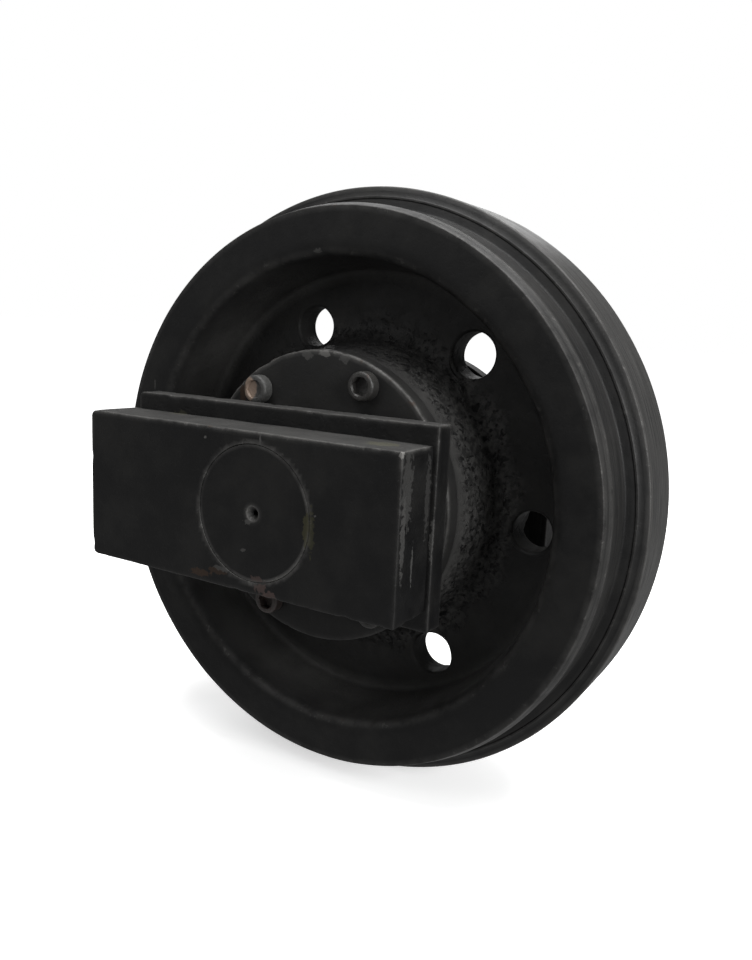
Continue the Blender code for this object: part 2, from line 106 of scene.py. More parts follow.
# Wheel
WHEEL_STEPS = 320
TREAD_RADIUS = 0.250
FLANGE_RADIUS = 0.2688
FACE_HEIGHT = 0.079
FLANGE_HALF_WIDTH = 0.0303
FLANGE_FOOT_HEIGHT = 0.0365
RIDGE_RADIUS = 0.2590
RIDGE_HEIGHT = 0.0338
RIDGE_SIZE = 0.0007
CHAMFER_DEPTH = 0.0034
CHAMFER_LENGTH = 0.0105
LIP_RADIUS = 0.206
LIP_ROUNDING = 0.012
RIM_FOOT_RADIUS = 0.200
RIM_FOOT_HEIGHT = 0.0232
WEB_HEIGHT = 0.014
WEB_FILLET = 0.016
HUB_FOOT_RADIUS = 0.138
HUB_FACE_RADIUS = 0.1245
HUB_HEIGHT = 0.077
HUB_BORE_RADIUS = 0.0623
COLLAR_RADIUS = 0.0723
COLLAR_SEAT = 0.072
HIDDEN_RADIUS = 0.123  # inside it the wheel is machined and out of sight
FLANGE_ROUNDING = 0.0022
RIDGE_ROUNDING = 0.0004
FLANGE_FOOT_ROUNDING = 0.0025
RIM_EDGE_ROUNDING = 0.0012
HUB_EDGE_ROUNDING = 0.0015
WEB_HOLES = (  # (angle, distance from the axis, radius) of each
    (-5.8, 0.1685, 0.0177),
    (51.5, 0.1640, 0.0200),
    (114, 0.1595, 0.0187),
    (174, 0.1655, 0.0200),
    (234, 0.1655, 0.0200),
    (298.5, 0.1685, 0.0192),
)
WEB_HOLE_ROUNDING = 0.0035
WEB_HOLE_REACH = 0.05

# Hub covers and screws
COVER_STEPS = 288
COVER_RADIUS = 0.1275
COVER_INNER_HEIGHT = 0.0773
COVER_HEIGHT = 0.0936
COVER_CHAMFER = 0.0022
COVER_ROUNDING = 0.0006
COVER_BORE_RADIUS = 0.0572
COVER_SEAT_HEIGHT = 0.0861
COVER_SEAL_RADIUS = 0.0709
COVER_MOUTH_RADIUS = 0.0722
GROOVE_OUTER = 0.093
GROOVE_INNER = 0.088
GROOVE_DEPTH = 0.0036
SCREW_CIRCLE = 0.110
SCREW_FIRST_ANGLE = 5.6
SCREW_COUNT = 6
SCREW_HOLE_RADIUS = 0.0083
THREAD_BOTTOM = 0.046
HEAD_RADIUS = 0.0124
HEAD_TOP = 0.1047
HEAD_SEAT = 0.0939
SHANK_RADIUS = 0.0078
SHANK_TIP = 0.050
SOCKET_WIDTH = 0.014
SOCKET_DEPTH = 0.007
SOCKET_TIP = 0.0012
FILLED_SOCKET_DEPTH = 0.0017  # packed with dirt
HEAD_ROUNDING = 0.0024

# Shaft and support blocks
SHAFT_RADIUS = 0.055
SHAFT_END = 0.1805
SHAFT_GROOVE = (0.1178, 0.1222)  # from and to, along the axis
SHAFT_GROOVE_RADIUS = 0.051
OIL_WAY_RADIUS = 0.005
CROSS_WAY_RADIUS = 0.004
CROSS_WAY_PLACE = 0.005
PLUG_RADIUS = 0.010
PLUG_SEAT_RADIUS = 0.0103
PLUG_TOP = 0.1802
PLUG_BOTTOM = 0.1642
PLUG_SOCKET_WIDTH = 0.008
PIN_RADIUS = 0.008
PIN_HOLE_RADIUS = 0.0083
PIN_HEIGHT = 0.1585
OPEN_END = 0.19  # past the shaft's end, for what is cut into it
UPRIGHT = Matrix.Rotation(math.pi / 2, 4, "X")  # turns a rod along Y to stand along Z
BLOCK_YOKE = -0.184
BLOCK_NOSE = 0.132
BLOCK_HALF_HEIGHT = 0.065
BLOCK_OUTER = 0.181
STEP_HEIGHT = 0.135
PLATE_YOKE = -0.173
PLATE_NOSE = 0.136
PLATE_HALF_HEIGHT = 0.080
PLATE_INNER = 0.1147
BOSS_RADIUS = 0.0765
BOSS_INNER = 0.0956
OVERLAP = 0.006  # how far the parts of a block reach into each other
BLOCK_STEP = 3.6 * MM  # between the points on its faces
YOKE_HOLE_RADIUS = 0.0095
YOKE_THREAD_RADIUS = 0.008
YOKE_HOLE_OFFSET = 0.035


def hashed(cells, seed):
    """A repeatable number from -1 to 1 for each whole-number grid point."""
    mixed = cells[:, 0] * 73856093 ^ cells[:, 1] * 19349663 ^ cells[:, 2] * 83492791 ^ seed * 49979687
    mixed = (mixed ^ (mixed >> 13)) * 1274126177 & 0x7FFFFFFF
    mixed = (mixed ^ (mixed >> 11)) * 668265263 & 0x7FFFFFFF
    return (mixed >> 8 & 0xFFFF) / 32767.5 - 1


def noise(points, size, seed):
    """Smooth noise from -1 to 1 whose features are about size across."""
    scaled = points / size
    whole = np.floor(scaled).astype(np.int64)
    part = scaled - whole
    part = part * part * (3 - 2 * part)
    total = np.zeros(len(points))
    for corner in np.ndindex(2, 2, 2):
        weight = np.prod(np.where(corner, part, 1 - part), axis=1)
        total += weight * hashed(whole + np.array(corner), seed)
    return total


def smoothstep(low, high, values):
    share = np.clip((values - low) / (high - low), 0, 1)
    return share * share * (3 - 2 * share)


def bell(distance, width):
    """1 at no distance, falling smoothly to 0 past about one and a half widths."""
    return np.exp(-((distance / width) ** 2))


def polar(place):
    """Each point's distance from the Y axis, and its height on either side."""
    return np.hypot(place[:, 0], place[:, 2]), np.abs(place[:, 1])


def rounded(corners, arc_steps=5):
    """A closed outline from (radius, height, rounding) corners, each rounding made an arc."""
    points = []
    for i, (radius, height, rounding) in enumerate(corners):
        here = Vector((radius, height))
        if not rounding:
            points.append(here)
            continue
        before = Vector(corners[i - 1][:2]) - here
        after = Vector(corners[(i + 1) % len(corners)][:2]) - here
        half = before.angle(after) / 2
        reach = min(rounding / math.tan(half), 0.49 * before.length, 0.49 * after.length)
        before.normalize()
        after.normalize()
        size = reach * math.tan(half)
        centre = here + (before + after).normalized() * size / math.sin(half)
        start = here + before * reach - centre
        turn = math.pi - 2 * half
        if before.x * after.y - before.y * after.x > 0:
            turn = -turn
        for step in range(arc_steps + 1):
            angle = turn * step / arc_steps
            c, s = math.cos(angle), math.sin(angle)
            points.append(centre + Vector((c * start.x - s * start.y, s * start.x + c * start.y)))
    return points


def spaced(points, spacing, closed=True):
    """The outline with points added, so that none are further apart than spacing(point)."""
    result = []
    count = len(points)
    for i in range(count if closed else count - 1):
        start, end = points[i], points[(i + 1) % count]
        steps = max(1, math.ceil((end - start).length / spacing((start + end) / 2)))
        result += [start.lerp(end, step / steps) for step in range(steps)]
    return result if closed else result + [points[-1]]


def lathe(name, outline, steps, side):
    """A mesh turned about Y. A closed outline has no point on the axis; an open one starts and ends there."""
    open_ended = outline[0].x < 1e-7
    profile = outline[1:-1] if open_ended else outline
    angles = 2 * math.pi * np.arange(steps) / steps
    radii = np.array([p.x for p in profile])[:, None]
    heights = np.array([p.y for p in profile])[:, None] * side
    rows = np.stack([radii * np.cos(angles), heights + 0 * angles, radii * np.sin(angles)], axis=-1)
    points = rows.reshape(-1, 3)
    count = len(profile)
    row = np.arange(count if not open_ended else count - 1)[:, None]
    column = np.arange(steps)[None, :]
    below = (row + 1) % count * steps
    right = (column + 1) % steps
    here = row * steps
    quads = np.stack([here + column, here + right, below + right, below + column], axis=-1)
    faces = quads.reshape(-1, 4).tolist()
    if open_ended:
        ends = np.array([[0, outline[0].y * side, 0], [0, outline[-1].y * side, 0]])
        points = np.concatenate([points, ends])
        first, last = len(points) - 2, len(points) - 1
        start = (count - 1) * steps
        faces += [[first, (j + 1) % steps, j] for j in range(steps)]
        faces += [[last, start + j, start + (j + 1) % steps] for j in range(steps)]
    return new_mesh(name, points, faces)


def turned(name, corners, steps, side):
    """A mesh turned about Y from (radius, height) corners that start and end on the axis."""
    return lathe(name, [Vector(corner) for corner in corners], steps, side)


def new_mesh(name, points, faces):
    mesh = bpy.data.meshes.new(name)
    mesh.from_pydata(np.asarray(points).tolist(), [], faces)
    mesh.update()
    shape = bmesh.new()
    shape.from_mesh(mesh)
    if shape.calc_volume(signed=True) < 0:
        bmesh.ops.reverse_faces(shape, faces=shape.faces)
        shape.to_mesh(mesh)
    shape.free()
    mesh.update()
    return mesh


def positions(mesh):
    values = np.empty(len(mesh.vertices) * 3, np.float32)
    mesh.vertices.foreach_get("co", values)
    return values.reshape(-1, 3).astype(float)


def vertex_normals(mesh):
    values = np.empty(len(mesh.vertices) * 3, np.float32)
    mesh.vertex_normals.foreach_get("vector", values)
    return values.reshape(-1, 3)


def push(mesh, amount):
    """Moves each vertex along its normal."""
    pushed = positions(mesh) + vertex_normals(mesh) * np.asarray(amount)[:, None]
    mesh.vertices.foreach_set("co", pushed.astype(np.float32).ravel())
    mesh.update()


def store_paint(mesh, cast, dust_and_light, wear_and_highlight, polish_and_sheen):
    """Keeps what painted_cast reads at each vertex. A single number holds for the whole mesh."""
    kept = {"cast": cast, "dust_and_light": dust_and_light, "wear_and_highlight": wear_and_highlight, "polish_and_sheen": polish_and_sheen}
    for name, values in kept.items():
        attribute = mesh.attributes.new(name, "FLOAT", "POINT")
        each = np.clip(values + np.zeros(len(mesh.vertices)), 0, 1)
        attribute.data.foreach_set("value", each.astype(np.float32))


SHARP_ANGLE = math.radians(38)


def new_piece(name, mesh, material, body, stands_for):
    """A visible piece on a body, in place of the CAD nodes that it stands for."""
    piece = bpy.data.objects.new(name, mesh)
    bpy.context.scene.collection.objects.link(piece)
    mesh.materials.clear()
    mesh.materials.append(material)
    mesh.shade_smooth()
    mesh.set_sharp_from_angle(angle=SHARP_ANGLE)
    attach(piece, body)
    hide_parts(*stands_for)


def combined(mesh, others, operation):
    """The mesh with each other mesh joined to it or cut from it."""
    scene = bpy.context.scene.collection.objects
    holder = bpy.data.objects.new("holder", mesh)
    scene.link(holder)
    tools = []
    for other in others:
        tool = bpy.data.objects.new("tool", other)
        scene.link(tool)
        tools.append(tool)
        change = holder.modifiers.new("change", "BOOLEAN")
        change.operation = operation
        change.solver = "EXACT"
        change.object = tool
    graph = bpy.context.evaluated_depsgraph_get()
    result = bpy.data.meshes.new_from_object(holder.evaluated_get(graph), depsgraph=graph)
    result.name = mesh.name
    for obj in [holder, *tools]:
        bpy.data.objects.remove(obj)
    return result


def joined(meshes, name):
    """Several separate meshes as one, to cut with in one go."""
    shape = bmesh.new()
    for mesh in meshes:
        shape.from_mesh(mesh)
    result = bpy.data.meshes.new(name)
    shape.to_mesh(result)
    shape.free()
    return result


def moved(mesh, matrix):
    result = mesh.copy()
    result.transform(matrix)
    return result


def on_circle(radius, degrees):
    angle = math.radians(degrees)
    return Vector((radius * math.cos(angle), 0, radius * math.sin(angle)))


# ---------------------------------------------------------------- materials


SPOT_GRAIN = 0.0035  # how fine the ragged edge of a stain, bare spot or painted highlight is


class Nodes:
    """A node tree under construction."""

    def __init__(self, tree):
        self.tree = tree

    def feed(self, socket, value):
        if isinstance(value, bpy.types.NodeSocket):
            self.tree.links.new(value, socket)
        elif isinstance(value, tuple) and len(value) == 3 and socket.type == "RGBA":
            socket.default_value = (*value, 1.0)
        else:
            socket.default_value = value

    def add(self, kind, *values, **named):
        """A new node, its first inputs given these values and its named inputs the named ones."""
        node = self.tree.nodes.new("ShaderNode" + kind)
        for socket, value in zip(node.inputs, values):
            self.feed(socket, value)
        for name, value in named.items():
            self.feed(node.inputs[name], value)
        return node


class Paint(Nodes):
    """A material under construction. Its methods add a node and return the socket to use."""

    def __init__(self, name):
        self.material = bpy.data.materials.new(name)
        self.material.use_nodes = True
        super().__init__(self.material.node_tree)
        self.shader = self.tree.nodes["Principled BSDF"]
        self.place = self.add("TexCoord").outputs["Object"]

    def maths(self, operation, a, b=0.0, clamp=False):
        node = self.add("Math", a, b)
        node.operation = operation
        node.use_clamp = clamp
        return node.outputs[0]

    def times(self, a, b, clamp=False):
        return self.maths("MULTIPLY", a, b, clamp)

    def plus(self, a, b):
        return self.maths("ADD", a, b)

    def stretched(self, scale):
        """The place to read a noise at, so that it comes out stretched along the axes of a small scale."""
        return self.add("Mapping", Vector=self.place, Scale=scale).outputs[0]

    def noise(self, size, detail=2.0, rough=0.5, place=None):
        """Noise from about 0.2 to 0.8 with features of this size in metres."""
        place = place or self.place
        return self.add("TexNoise", Vector=place, Scale=1 / size, Detail=detail, Roughness=rough).outputs[0]

    def rings(self, size):
        """Noise in rings round the Y axis, each about size wide and changing slowly along its way."""
        x, y, z = self.add("SeparateXYZ", self.place).outputs
        radius = self.maths("SQRT", self.plus(self.times(x, x), self.times(z, z)))
        along = self.times(self.plus(x, z), 0.03)
        return self.noise(size, 3.0, 0.6, self.add("CombineXYZ", radius, y, along).outputs[0])

    def ramp(self, value, low, high, to_low=0.0, to_high=1.0):
        node = self.add("MapRange", value, low, high, to_low, to_high)
        node.interpolation_type = "SMOOTHSTEP"
        return node.outputs[0]

    def stored(self, name):
        node = self.tree.nodes.new("ShaderNodeAttribute")
        node.attribute_name = name
        return node.outputs["Fac"]

    def mix(self, share, a, b):
        """A colour between a and b."""
        node = self.add("Mix", share)
        node.data_type = "RGBA"
        self.feed(node.inputs[6], a)
        self.feed(node.inputs[7], b)
        return node.outputs[2]

    def blend(self, share, a, b):
        """A number between a and b."""
        node = self.add("Mix", share)
        self.feed(node.inputs[2], a)
        self.feed(node.inputs[3], b)
        return node.outputs[0]

    def vector(self, operation, *values, output="Vector"):
        node = self.add("VectorMath", *values)
        node.operation = operation
        return node.outputs[output]

    def near(self, centre, size, ragged=0.55):
        """1 inside a ragged spot of this (x, y, z) size round the centre, and 0 outside it."""
        out = self.vector("DIVIDE", self.vector("SUBTRACT", self.place, centre), size)
        wobble = self.times(self.noise(SPOT_GRAIN, 3.0, 0.6), ragged * 4)
        edge = self.plus(self.vector("LENGTH", out, output="Value"), wobble)
        return self.ramp(edge, 0.75 + 2 * ragged, 1.0 + 2 * ragged, 1.0, 0.0)

    def most(self, *values):
        result = values[0]
        for value in values[1:]:
            result = self.maths("MAXIMUM", result, value)
        return result

    def relief(self, height, distance):
        node = self.add("Bump", Strength=1.0, Distance=distance, Height=height)
        self.feed(self.shader.inputs["Normal"], node.outputs[0])

    def finish(self, colour, roughness, metallic=0.0):
        self.feed(self.shader.inputs["Base Color"], colour)
        self.feed(self.shader.inputs["Roughness"], roughness)
        self.feed(self.shader.inputs["Metallic"], metallic)
        return self.material


# Colours, as shares of the light thrown back
BLACK = (0.0056, 0.0056, 0.0058)
DUSTY = (0.0112, 0.0110, 0.0106)
# Pale dusting, also used as painted light and fill light
PALE_DUST_AND_LIGHT = (0.052, 0.051, 0.049)
# Rubbed paint, also used for painted highlights
RUBBED_AND_HIGHLIGHT = (0.060, 0.059, 0.057)
# Worn edges, pale enough to be painted highlights as well
EDGE_WEAR_AND_HIGHLIGHT = (0.125, 0.122, 0.117)
# Chipped paint, also used for painted highlights
CHIPPED_AND_HIGHLIGHT = (0.20, 0.195, 0.185)
RUST = (0.040, 0.023, 0.014)
PINK_RUST = (0.085, 0.058, 0.052)
OLIVE = (0.042, 0.040, 0.020)
SALLOW = (0.075, 0.073, 0.045)
DARK_GREY = (0.032, 0.032, 0.031)
GREY = (0.075, 0.075, 0.072)
DARK_TAN = (0.17, 0.125, 0.095)
TAN = (0.28, 0.21, 0.165)
BROWN = (0.055, 0.034, 0.022)
SCREW_BLACK = (0.014, 0.0138, 0.0132)
SCREW_GREY = (0.052, 0.050, 0.047)
RUSTY_BLACK = (0.022, 0.020, 0.019)
RUSTY_PINK = (0.060, 0.043, 0.038)
BRONZE = (0.55, 0.36, 0.16)
SEAL_IRON = (0.30, 0.30, 0.31)
RUBBER_BLACK = (0.012, 0.012, 0.012)
RUBBER_BLOOM = (0.05, 0.05, 0.048)
PALE_FLOOR = (0.93, 0.93, 0.93)
PALER_FLOOR = (0.95, 0.95, 0.95)
PAINT_SPECULAR = 0.24


def painted_cast(name, marks=(), streaks=0.0):
    """Black paint over cast steel.

    The mesh says how rough ('cast') each part of it is, how dusty it is together with the painted light and
    fill light laid on it ('dust_and_light'), how worn its edges are together with the highlights painted
    along them ('wear_and_highlight'), and how polished by running it is together with its painted sheen
    ('polish_and_sheen'). Each mark is (colour, place, size, strength): a small stain, a bare spot or a
    painted highlight.
    streaks is how strongly pale streaks run down it.
    """
    p = Paint(name)
    cast, dust_and_light, wear_and_highlight, polish_and_sheen = (p.stored(kind) for kind in ("cast", "dust_and_light", "wear_and_highlight", "polish_and_sheen"))

    # The paint, and the pale dusting that lies on it but not in the pits; the same pale colour also paints
    # light and fill light where the mesh asks for it
    broad = p.noise(0.050, 5.0, 0.62)
    large_pits = p.ramp(p.noise(0.0078), 0.33, 0.42)
    small_pits = p.ramp(p.noise(0.0044), 0.32, 0.41)
    pits = p.times(large_pits, small_pits)
    colour = p.mix(p.ramp(broad, 0.40, 0.68), BLACK, DUSTY)
    grainy = p.ramp(p.noise(0.0052, 5.0, 0.68), 0.38, 0.62, 0.22, 1.15)
    cloudy = p.ramp(p.noise(0.035, 3.0, 0.5), 0.3, 0.7, 0.65, 1.0)
    roughly = p.ramp(cast, 0.1, 0.6)
    dust_and_light_share = p.times(p.times(dust_and_light, cloudy), p.blend(roughly, 0.8, grainy))
    dust_and_light_share = p.times(dust_and_light_share, p.blend(roughly, 1.0, p.blend(pits, 0.05, 1.0)), clamp=True)
    colour = p.mix(dust_and_light_share, colour, PALE_DUST_AND_LIGHT)

    # Rubbed, worn and chipped steel, and rust; the worn edges are pale enough to paint a highlight along them
    # as well
    rings = p.rings(0.0016)
    # Polished by the track: paler steel and a painted sheen together
    rubbing_and_sheen = p.times(polish_and_sheen, p.ramp(rings, 0.36, 0.66, 0.25, 1.0))
    colour = p.mix(rubbing_and_sheen, colour, RUBBED_AND_HIGHLIGHT)
    patchy = p.ramp(p.noise(0.016, 4.0, 0.65), 0.30, 0.62, 0.25, 1.0)
    worn_and_lit_edges = p.times(wear_and_highlight, patchy)
    colour = p.mix(p.times(worn_and_lit_edges, 0.85), colour, EDGE_WEAR_AND_HIGHLIGHT)
    chips = p.times(wear_and_highlight, p.ramp(p.noise(0.0075, 4.0, 0.7), 0.60, 0.66))
    colour = p.mix(p.times(chips, 0.7), colour, CHIPPED_AND_HIGHLIGHT)
    rusty = p.times(p.ramp(wear_and_highlight, 0.05, 0.6), p.ramp(p.noise(0.014, 4.0, 0.7), 0.63, 0.70))
    freckles = p.times(p.ramp(p.noise(0.005, 4.0, 0.75), 0.74, 0.80), 0.5)
    colour = p.mix(p.most(p.times(rusty, 0.6), freckles), colour, RUST)
    if streaks:
        hanging = p.noise(0.0032, 3.0, 0.6, p.stretched((1, 1, 0.09)))
        colour = p.mix(p.times(p.ramp(hanging, 0.50, 0.72), streaks), colour, RUBBED_AND_HIGHLIGHT)

    for tint, centre, size, strength in marks:
        colour = p.mix(p.times(p.near(centre, size), strength), colour, tint)

    # Relief and gloss
    fine = p.noise(0.0030, 3.0, 0.6)
    lumps = p.noise(0.0065, 4.0, 0.6)
    coarse = p.plus(p.times(pits, 0.9), p.times(lumps, 1.1))
    height = p.times(coarse, cast)
    height = p.plus(height, p.times(fine, 0.07))
    height = p.plus(height, p.times(p.noise(0.022, 2.0), 0.35))
    height = p.plus(height, p.times(p.times(rings, polish_and_sheen), 0.06))
    p.relief(height, 0.0011)
    roughness = p.ramp(p.noise(0.02, 5.0, 0.65), 0.3, 0.7, 0.42, 0.60)
    roughness = p.blend(p.most(worn_and_lit_edges, rubbing_and_sheen), roughness, 0.40)
    roughness = p.blend(dust_and_light_share, roughness, 0.75)
    p.shader.inputs["Specular IOR Level"].default_value = PAINT_SPECULAR
    return p.finish(colour, roughness, p.times(chips, 0.4))


def bare_steel(name, colour_a, colour_b, rust_amount, metallic):
    """Steel with rust on it: rust_amount from 0, clean, to 1, all brown."""
    p = Paint(name)
    broad = p.noise(0.010, 5.0, 0.7)
    fine = p.noise(0.0012, 3.0, 0.6)
    patches = p.plus(broad, p.times(fine, 0.2))
    rust = p.ramp(patches, 0.82 - 0.5 * rust_amount, 0.95 - 0.5 * rust_amount)
    clean = p.mix(fine, colour_a, colour_b)
    colour = p.mix(rust, clean, p.mix(fine, RUST, PINK_RUST))
    p.relief(p.plus(p.times(broad, 0.6), fine), 0.00035)
    roughness = p.blend(rust, p.ramp(fine, 0.3, 0.7, 0.30, 0.46), 0.85)
    return p.finish(colour, roughness, p.blend(rust, metallic, 0.05))


def two_sided_screw(name):
    """The one screw whose paint has come off: tan on one side of its head, bare rusty steel with a painted
    highlight on it, and grey on the other.
    """
    p = Paint(name)
    middle = screw_place(3)
    # Painted highlight: the tan patch on the head's left, over bare rusty steel
    tan = p.near((middle.x - 0.0045, -HEAD_TOP, middle.z), (0.0068, 0.008, 0.012), 0.15)
    edge = p.near((middle.x - 0.0125, -HEAD_TOP, middle.z), (0.0035, 0.010, 0.010), 0.15)
    fine = p.noise(0.0030, 4.0, 0.65)
    colour = p.mix(fine, DARK_GREY, GREY)
    colour = p.mix(tan, colour, p.mix(fine, DARK_TAN, TAN))
    colour = p.mix(edge, colour, BROWN)
    p.relief(fine, 0.0006)
    return p.finish(colour, p.ramp(fine, 0.3, 0.7, 0.42, 0.62), 0.1)


def plain_metal(name, colour, roughness):
    """A turned metal with faint tool marks round it."""
    p = Paint(name)
    marks = p.noise(0.0006, 2.0, 0.5, p.stretched((0.02, 1, 0.02)))
    stain = p.noise(0.02, 4.0, 0.6)
    dark = tuple(0.55 * c for c in colour)
    p.relief(marks, 0.00006)
    colour = p.mix(p.ramp(stain, 0.4, 0.8), colour, dark)
    return p.finish(colour, p.ramp(stain, 0.2, 0.8, roughness * 0.8, roughness * 1.3), 1.0)


def rubber(name):
    p = Paint(name)
    bloom = p.noise(0.008, 5.0, 0.7)
    p.relief(p.noise(0.0009), 0.00008)
    colour = p.mix(p.ramp(bloom, 0.5, 0.8), RUBBER_BLACK, RUBBER_BLOOM)
    return p.finish(colour, p.ramp(bloom, 0.2, 0.8, 0.6, 0.9))


# ---------------------------------------------------------------- wheel


def wheel_half():
    """The wheel's corners from its centre plane, over the tread and face, down to the web and the bore."""
    ridge = RIDGE_SIZE
    return [
        (FLANGE_RADIUS, FLANGE_HALF_WIDTH, FLANGE_ROUNDING),
        (RIDGE_RADIUS + 2.2 * ridge, RIDGE_HEIGHT - 0.3 * ridge, 0),
        (RIDGE_RADIUS + ridge, RIDGE_HEIGHT + ridge, RIDGE_ROUNDING),
        (RIDGE_RADIUS - ridge, RIDGE_HEIGHT + 1.2 * ridge, RIDGE_ROUNDING),
        (RIDGE_RADIUS - 2.2 * ridge, RIDGE_HEIGHT + 0.3 * ridge, 0),
        (TREAD_RADIUS, FLANGE_FOOT_HEIGHT, FLANGE_FOOT_ROUNDING),
        (TREAD_RADIUS, FACE_HEIGHT - CHAMFER_LENGTH, RIM_EDGE_ROUNDING),
        (TREAD_RADIUS - CHAMFER_DEPTH, FACE_HEIGHT, RIM_EDGE_ROUNDING),
        (LIP_RADIUS, FACE_HEIGHT, LIP_ROUNDING),
        (RIM_FOOT_RADIUS, RIM_FOOT_HEIGHT, 0),
        (RIM_FOOT_RADIUS - 0.0005, WEB_HEIGHT, WEB_FILLET),
        (HUB_FOOT_RADIUS, WEB_HEIGHT, WEB_FILLET),
        (HUB_FACE_RADIUS, HUB_HEIGHT, HUB_EDGE_ROUNDING),
        (COLLAR_RADIUS, HUB_HEIGHT, 0),
        (COLLAR_RADIUS, COLLAR_SEAT, 0),
        (HUB_BORE_RADIUS, COLLAR_SEAT, 0),
    ]


def wheel_spacing(point):
    """How far apart the outline's points are: fine where the casting is rough and in sight."""
    if point.x < HIDDEN_RADIUS:
        return 0.02
    if point.x > 0.2095:
        return 0.0050
    if point.x < 0.172:
        return 0.0022
    return 0.0034


def wheel_mesh():
    """The wheel without holes, its recesses uneven as cast."""
    half = wheel_half()
    other = [(radius, -height, rounding) for radius, height, rounding in reversed(half)]
    outline = spaced(rounded(half + other), wheel_spacing)
    mesh = lathe("wheel_casting", outline, WHEEL_STEPS, 1)
    place = positions(mesh)
    radius, height = polar(place)
    recess = smoothstep(0.126, 0.130, radius) * (1 - smoothstep(0.2, 0.2085, radius))
    recess *= 1 - smoothstep(0.070, FACE_HEIGHT, height)
    bumps = 0.55 * noise(place, 6.5 * MM, 3) + 0.45 * noise(place, 3.8 * MM, 4)
    bumps = bumps - 0.9 * smoothstep(0.25, 0.8, noise(place, 5.2 * MM, 5))
    waves = noise(place, 45 * MM, 6)
    lip = bell(radius - LIP_RADIUS - 0.002, 0.006) * smoothstep(0.060, 0.075, height)
    outside = smoothstep(0.2, 0.21, radius)
    flank = smoothstep(0.128, 0.136, radius) * (1 - smoothstep(0.150, 0.172, radius))
    amount = recess * ((0.28 + 0.75 * flank) * MM * bumps + 0.9 * MM * waves)
    amount += lip * (0.55 * MM * noise(place, 17 * MM, 7) + 0.35 * MM * noise(place, 8 * MM, 8))
    amount += outside * 0.10 * MM * noise(place, 30 * MM, 9)
    push(mesh, np.where(radius < HIDDEN_RADIUS, 0, amount))
    return mesh


def web_hole_cutter(angle, distance, narrow):
    """A rod with flared ends, which leaves the hole's edges rounded."""
    wide = narrow + WEB_HOLE_ROUNDING
    upper = [(wide * 1.04, WEB_HOLE_REACH)]
    for angle_round in np.linspace(0.46 * math.pi, 0, 6):
        inward = WEB_HOLE_ROUNDING * math.cos(angle_round)
        downward = WEB_HOLE_ROUNDING * (1 - math.sin(angle_round))
        upper.append((wide - inward, WEB_HEIGHT - downward))
    lower = [(radius, -height) for radius, height in reversed(upper)]
    cutter = turned("web_hole", [(0, WEB_HOLE_REACH), *upper, *lower, (0, -WEB_HOLE_REACH)], 48, 1)
    push(cutter, 0.7 * MM * noise(positions(cutter) + distance * angle, 14 * MM, 12))
    return moved(cutter, Matrix.Translation(on_circle(distance, angle)))


def screw_place(number):
    """Where screw 1, 2 and so on stands round the axis."""
    return on_circle(SCREW_CIRCLE, SCREW_FIRST_ANGLE + 360 / SCREW_COUNT * (number - 1))


def rod(name, radius, low, high, steps, side):
    """A plain cylinder along Y from one height to another."""
    return turned(name, [(0, high), (radius, high), (radius, low), (0, low)], steps, side)


def screw_holes(low, side):
    """What cuts the six screw holes of one side, from this height outwards."""
    hole = rod("screw_hole", SCREW_HOLE_RADIUS, low, 0.1, 24, side)
    places = [screw_place(number) for number in range(1, SCREW_COUNT + 1)]
    return [moved(hole, Matrix.Translation(place)) for place in places]


def wheel_wear_and_highlight(place):
    """Where the wheel's paint has gone, and where a highlight is painted along its edges: its rim edges, the
    flange's corners and a little on the lip.
    """
    radius, height = polar(place)
    face_edge = bell(radius - TREAD_RADIUS + CHAMFER_DEPTH, 0.0012) * (height > 0.074)
    chamfer_edge = bell(height - FACE_HEIGHT + CHAMFER_LENGTH, 0.0014) * (radius > 0.2485)
    flange = bell(np.hypot(radius - FLANGE_RADIUS, height - FLANGE_HALF_WIDTH), 0.0015)
    ridge = bell(np.hypot(radius - RIDGE_RADIUS, height - RIDGE_HEIGHT), 0.0012)
    lip = bell(np.hypot(radius - LIP_RADIUS - 0.002, height - FACE_HEIGHT + 0.002), 0.004)
    patchy = 0.55 + 0.45 * noise(place, 50 * MM, 21)
    edges = 0.45 * face_edge + 0.38 * chamfer_edge + 0.6 * flange + 0.4 * ridge + 0.30 * lip
    return (0.6 + 0.4 * patchy) * edges


def wheel_dust_and_light(place, recess, flank):
    """Dusting on the hub's flank, the recess's wall and its lower half, and a little in the rest of it. The
    flank is made paler towards the right, where the light falls, and less so near the top. The wall and the
    lower half are made paler as painted fill light against the shade in the recess.
    """
    radius, height = polar(place)
    x, z = place[:, 0], place[:, 2]
    # Painted fill light on the recess's wall and lower half, and painted light on the flank's right side
    wall = smoothstep(0.183, 0.197, radius)
    low = smoothstep(0.0, 0.13, -z) * (0.42 + 0.25 * smoothstep(0.02, 0.12, x))
    right = 0.40 + 0.60 * smoothstep(-0.04, 0.10, x)
    right *= 1 - 0.40 * smoothstep(0.07, 0.14, z)
    base = 0.32 + 0.10 * noise(place, 40 * MM, 23)
    # Painted light: the web holes' walls are pale, fully so in the hole on the right
    hole_wall = (height < WEB_HEIGHT - 0.002) & (radius > 0.14) & (radius < 0.19)
    dust_and_light = recess * np.clip(np.max([1.15 * flank * right, 1.15 * wall, low, base], axis=0), 0, 1)
    return np.where(hole_wall, np.where(x > 0.15, 1.0, 0.5), dust_and_light)


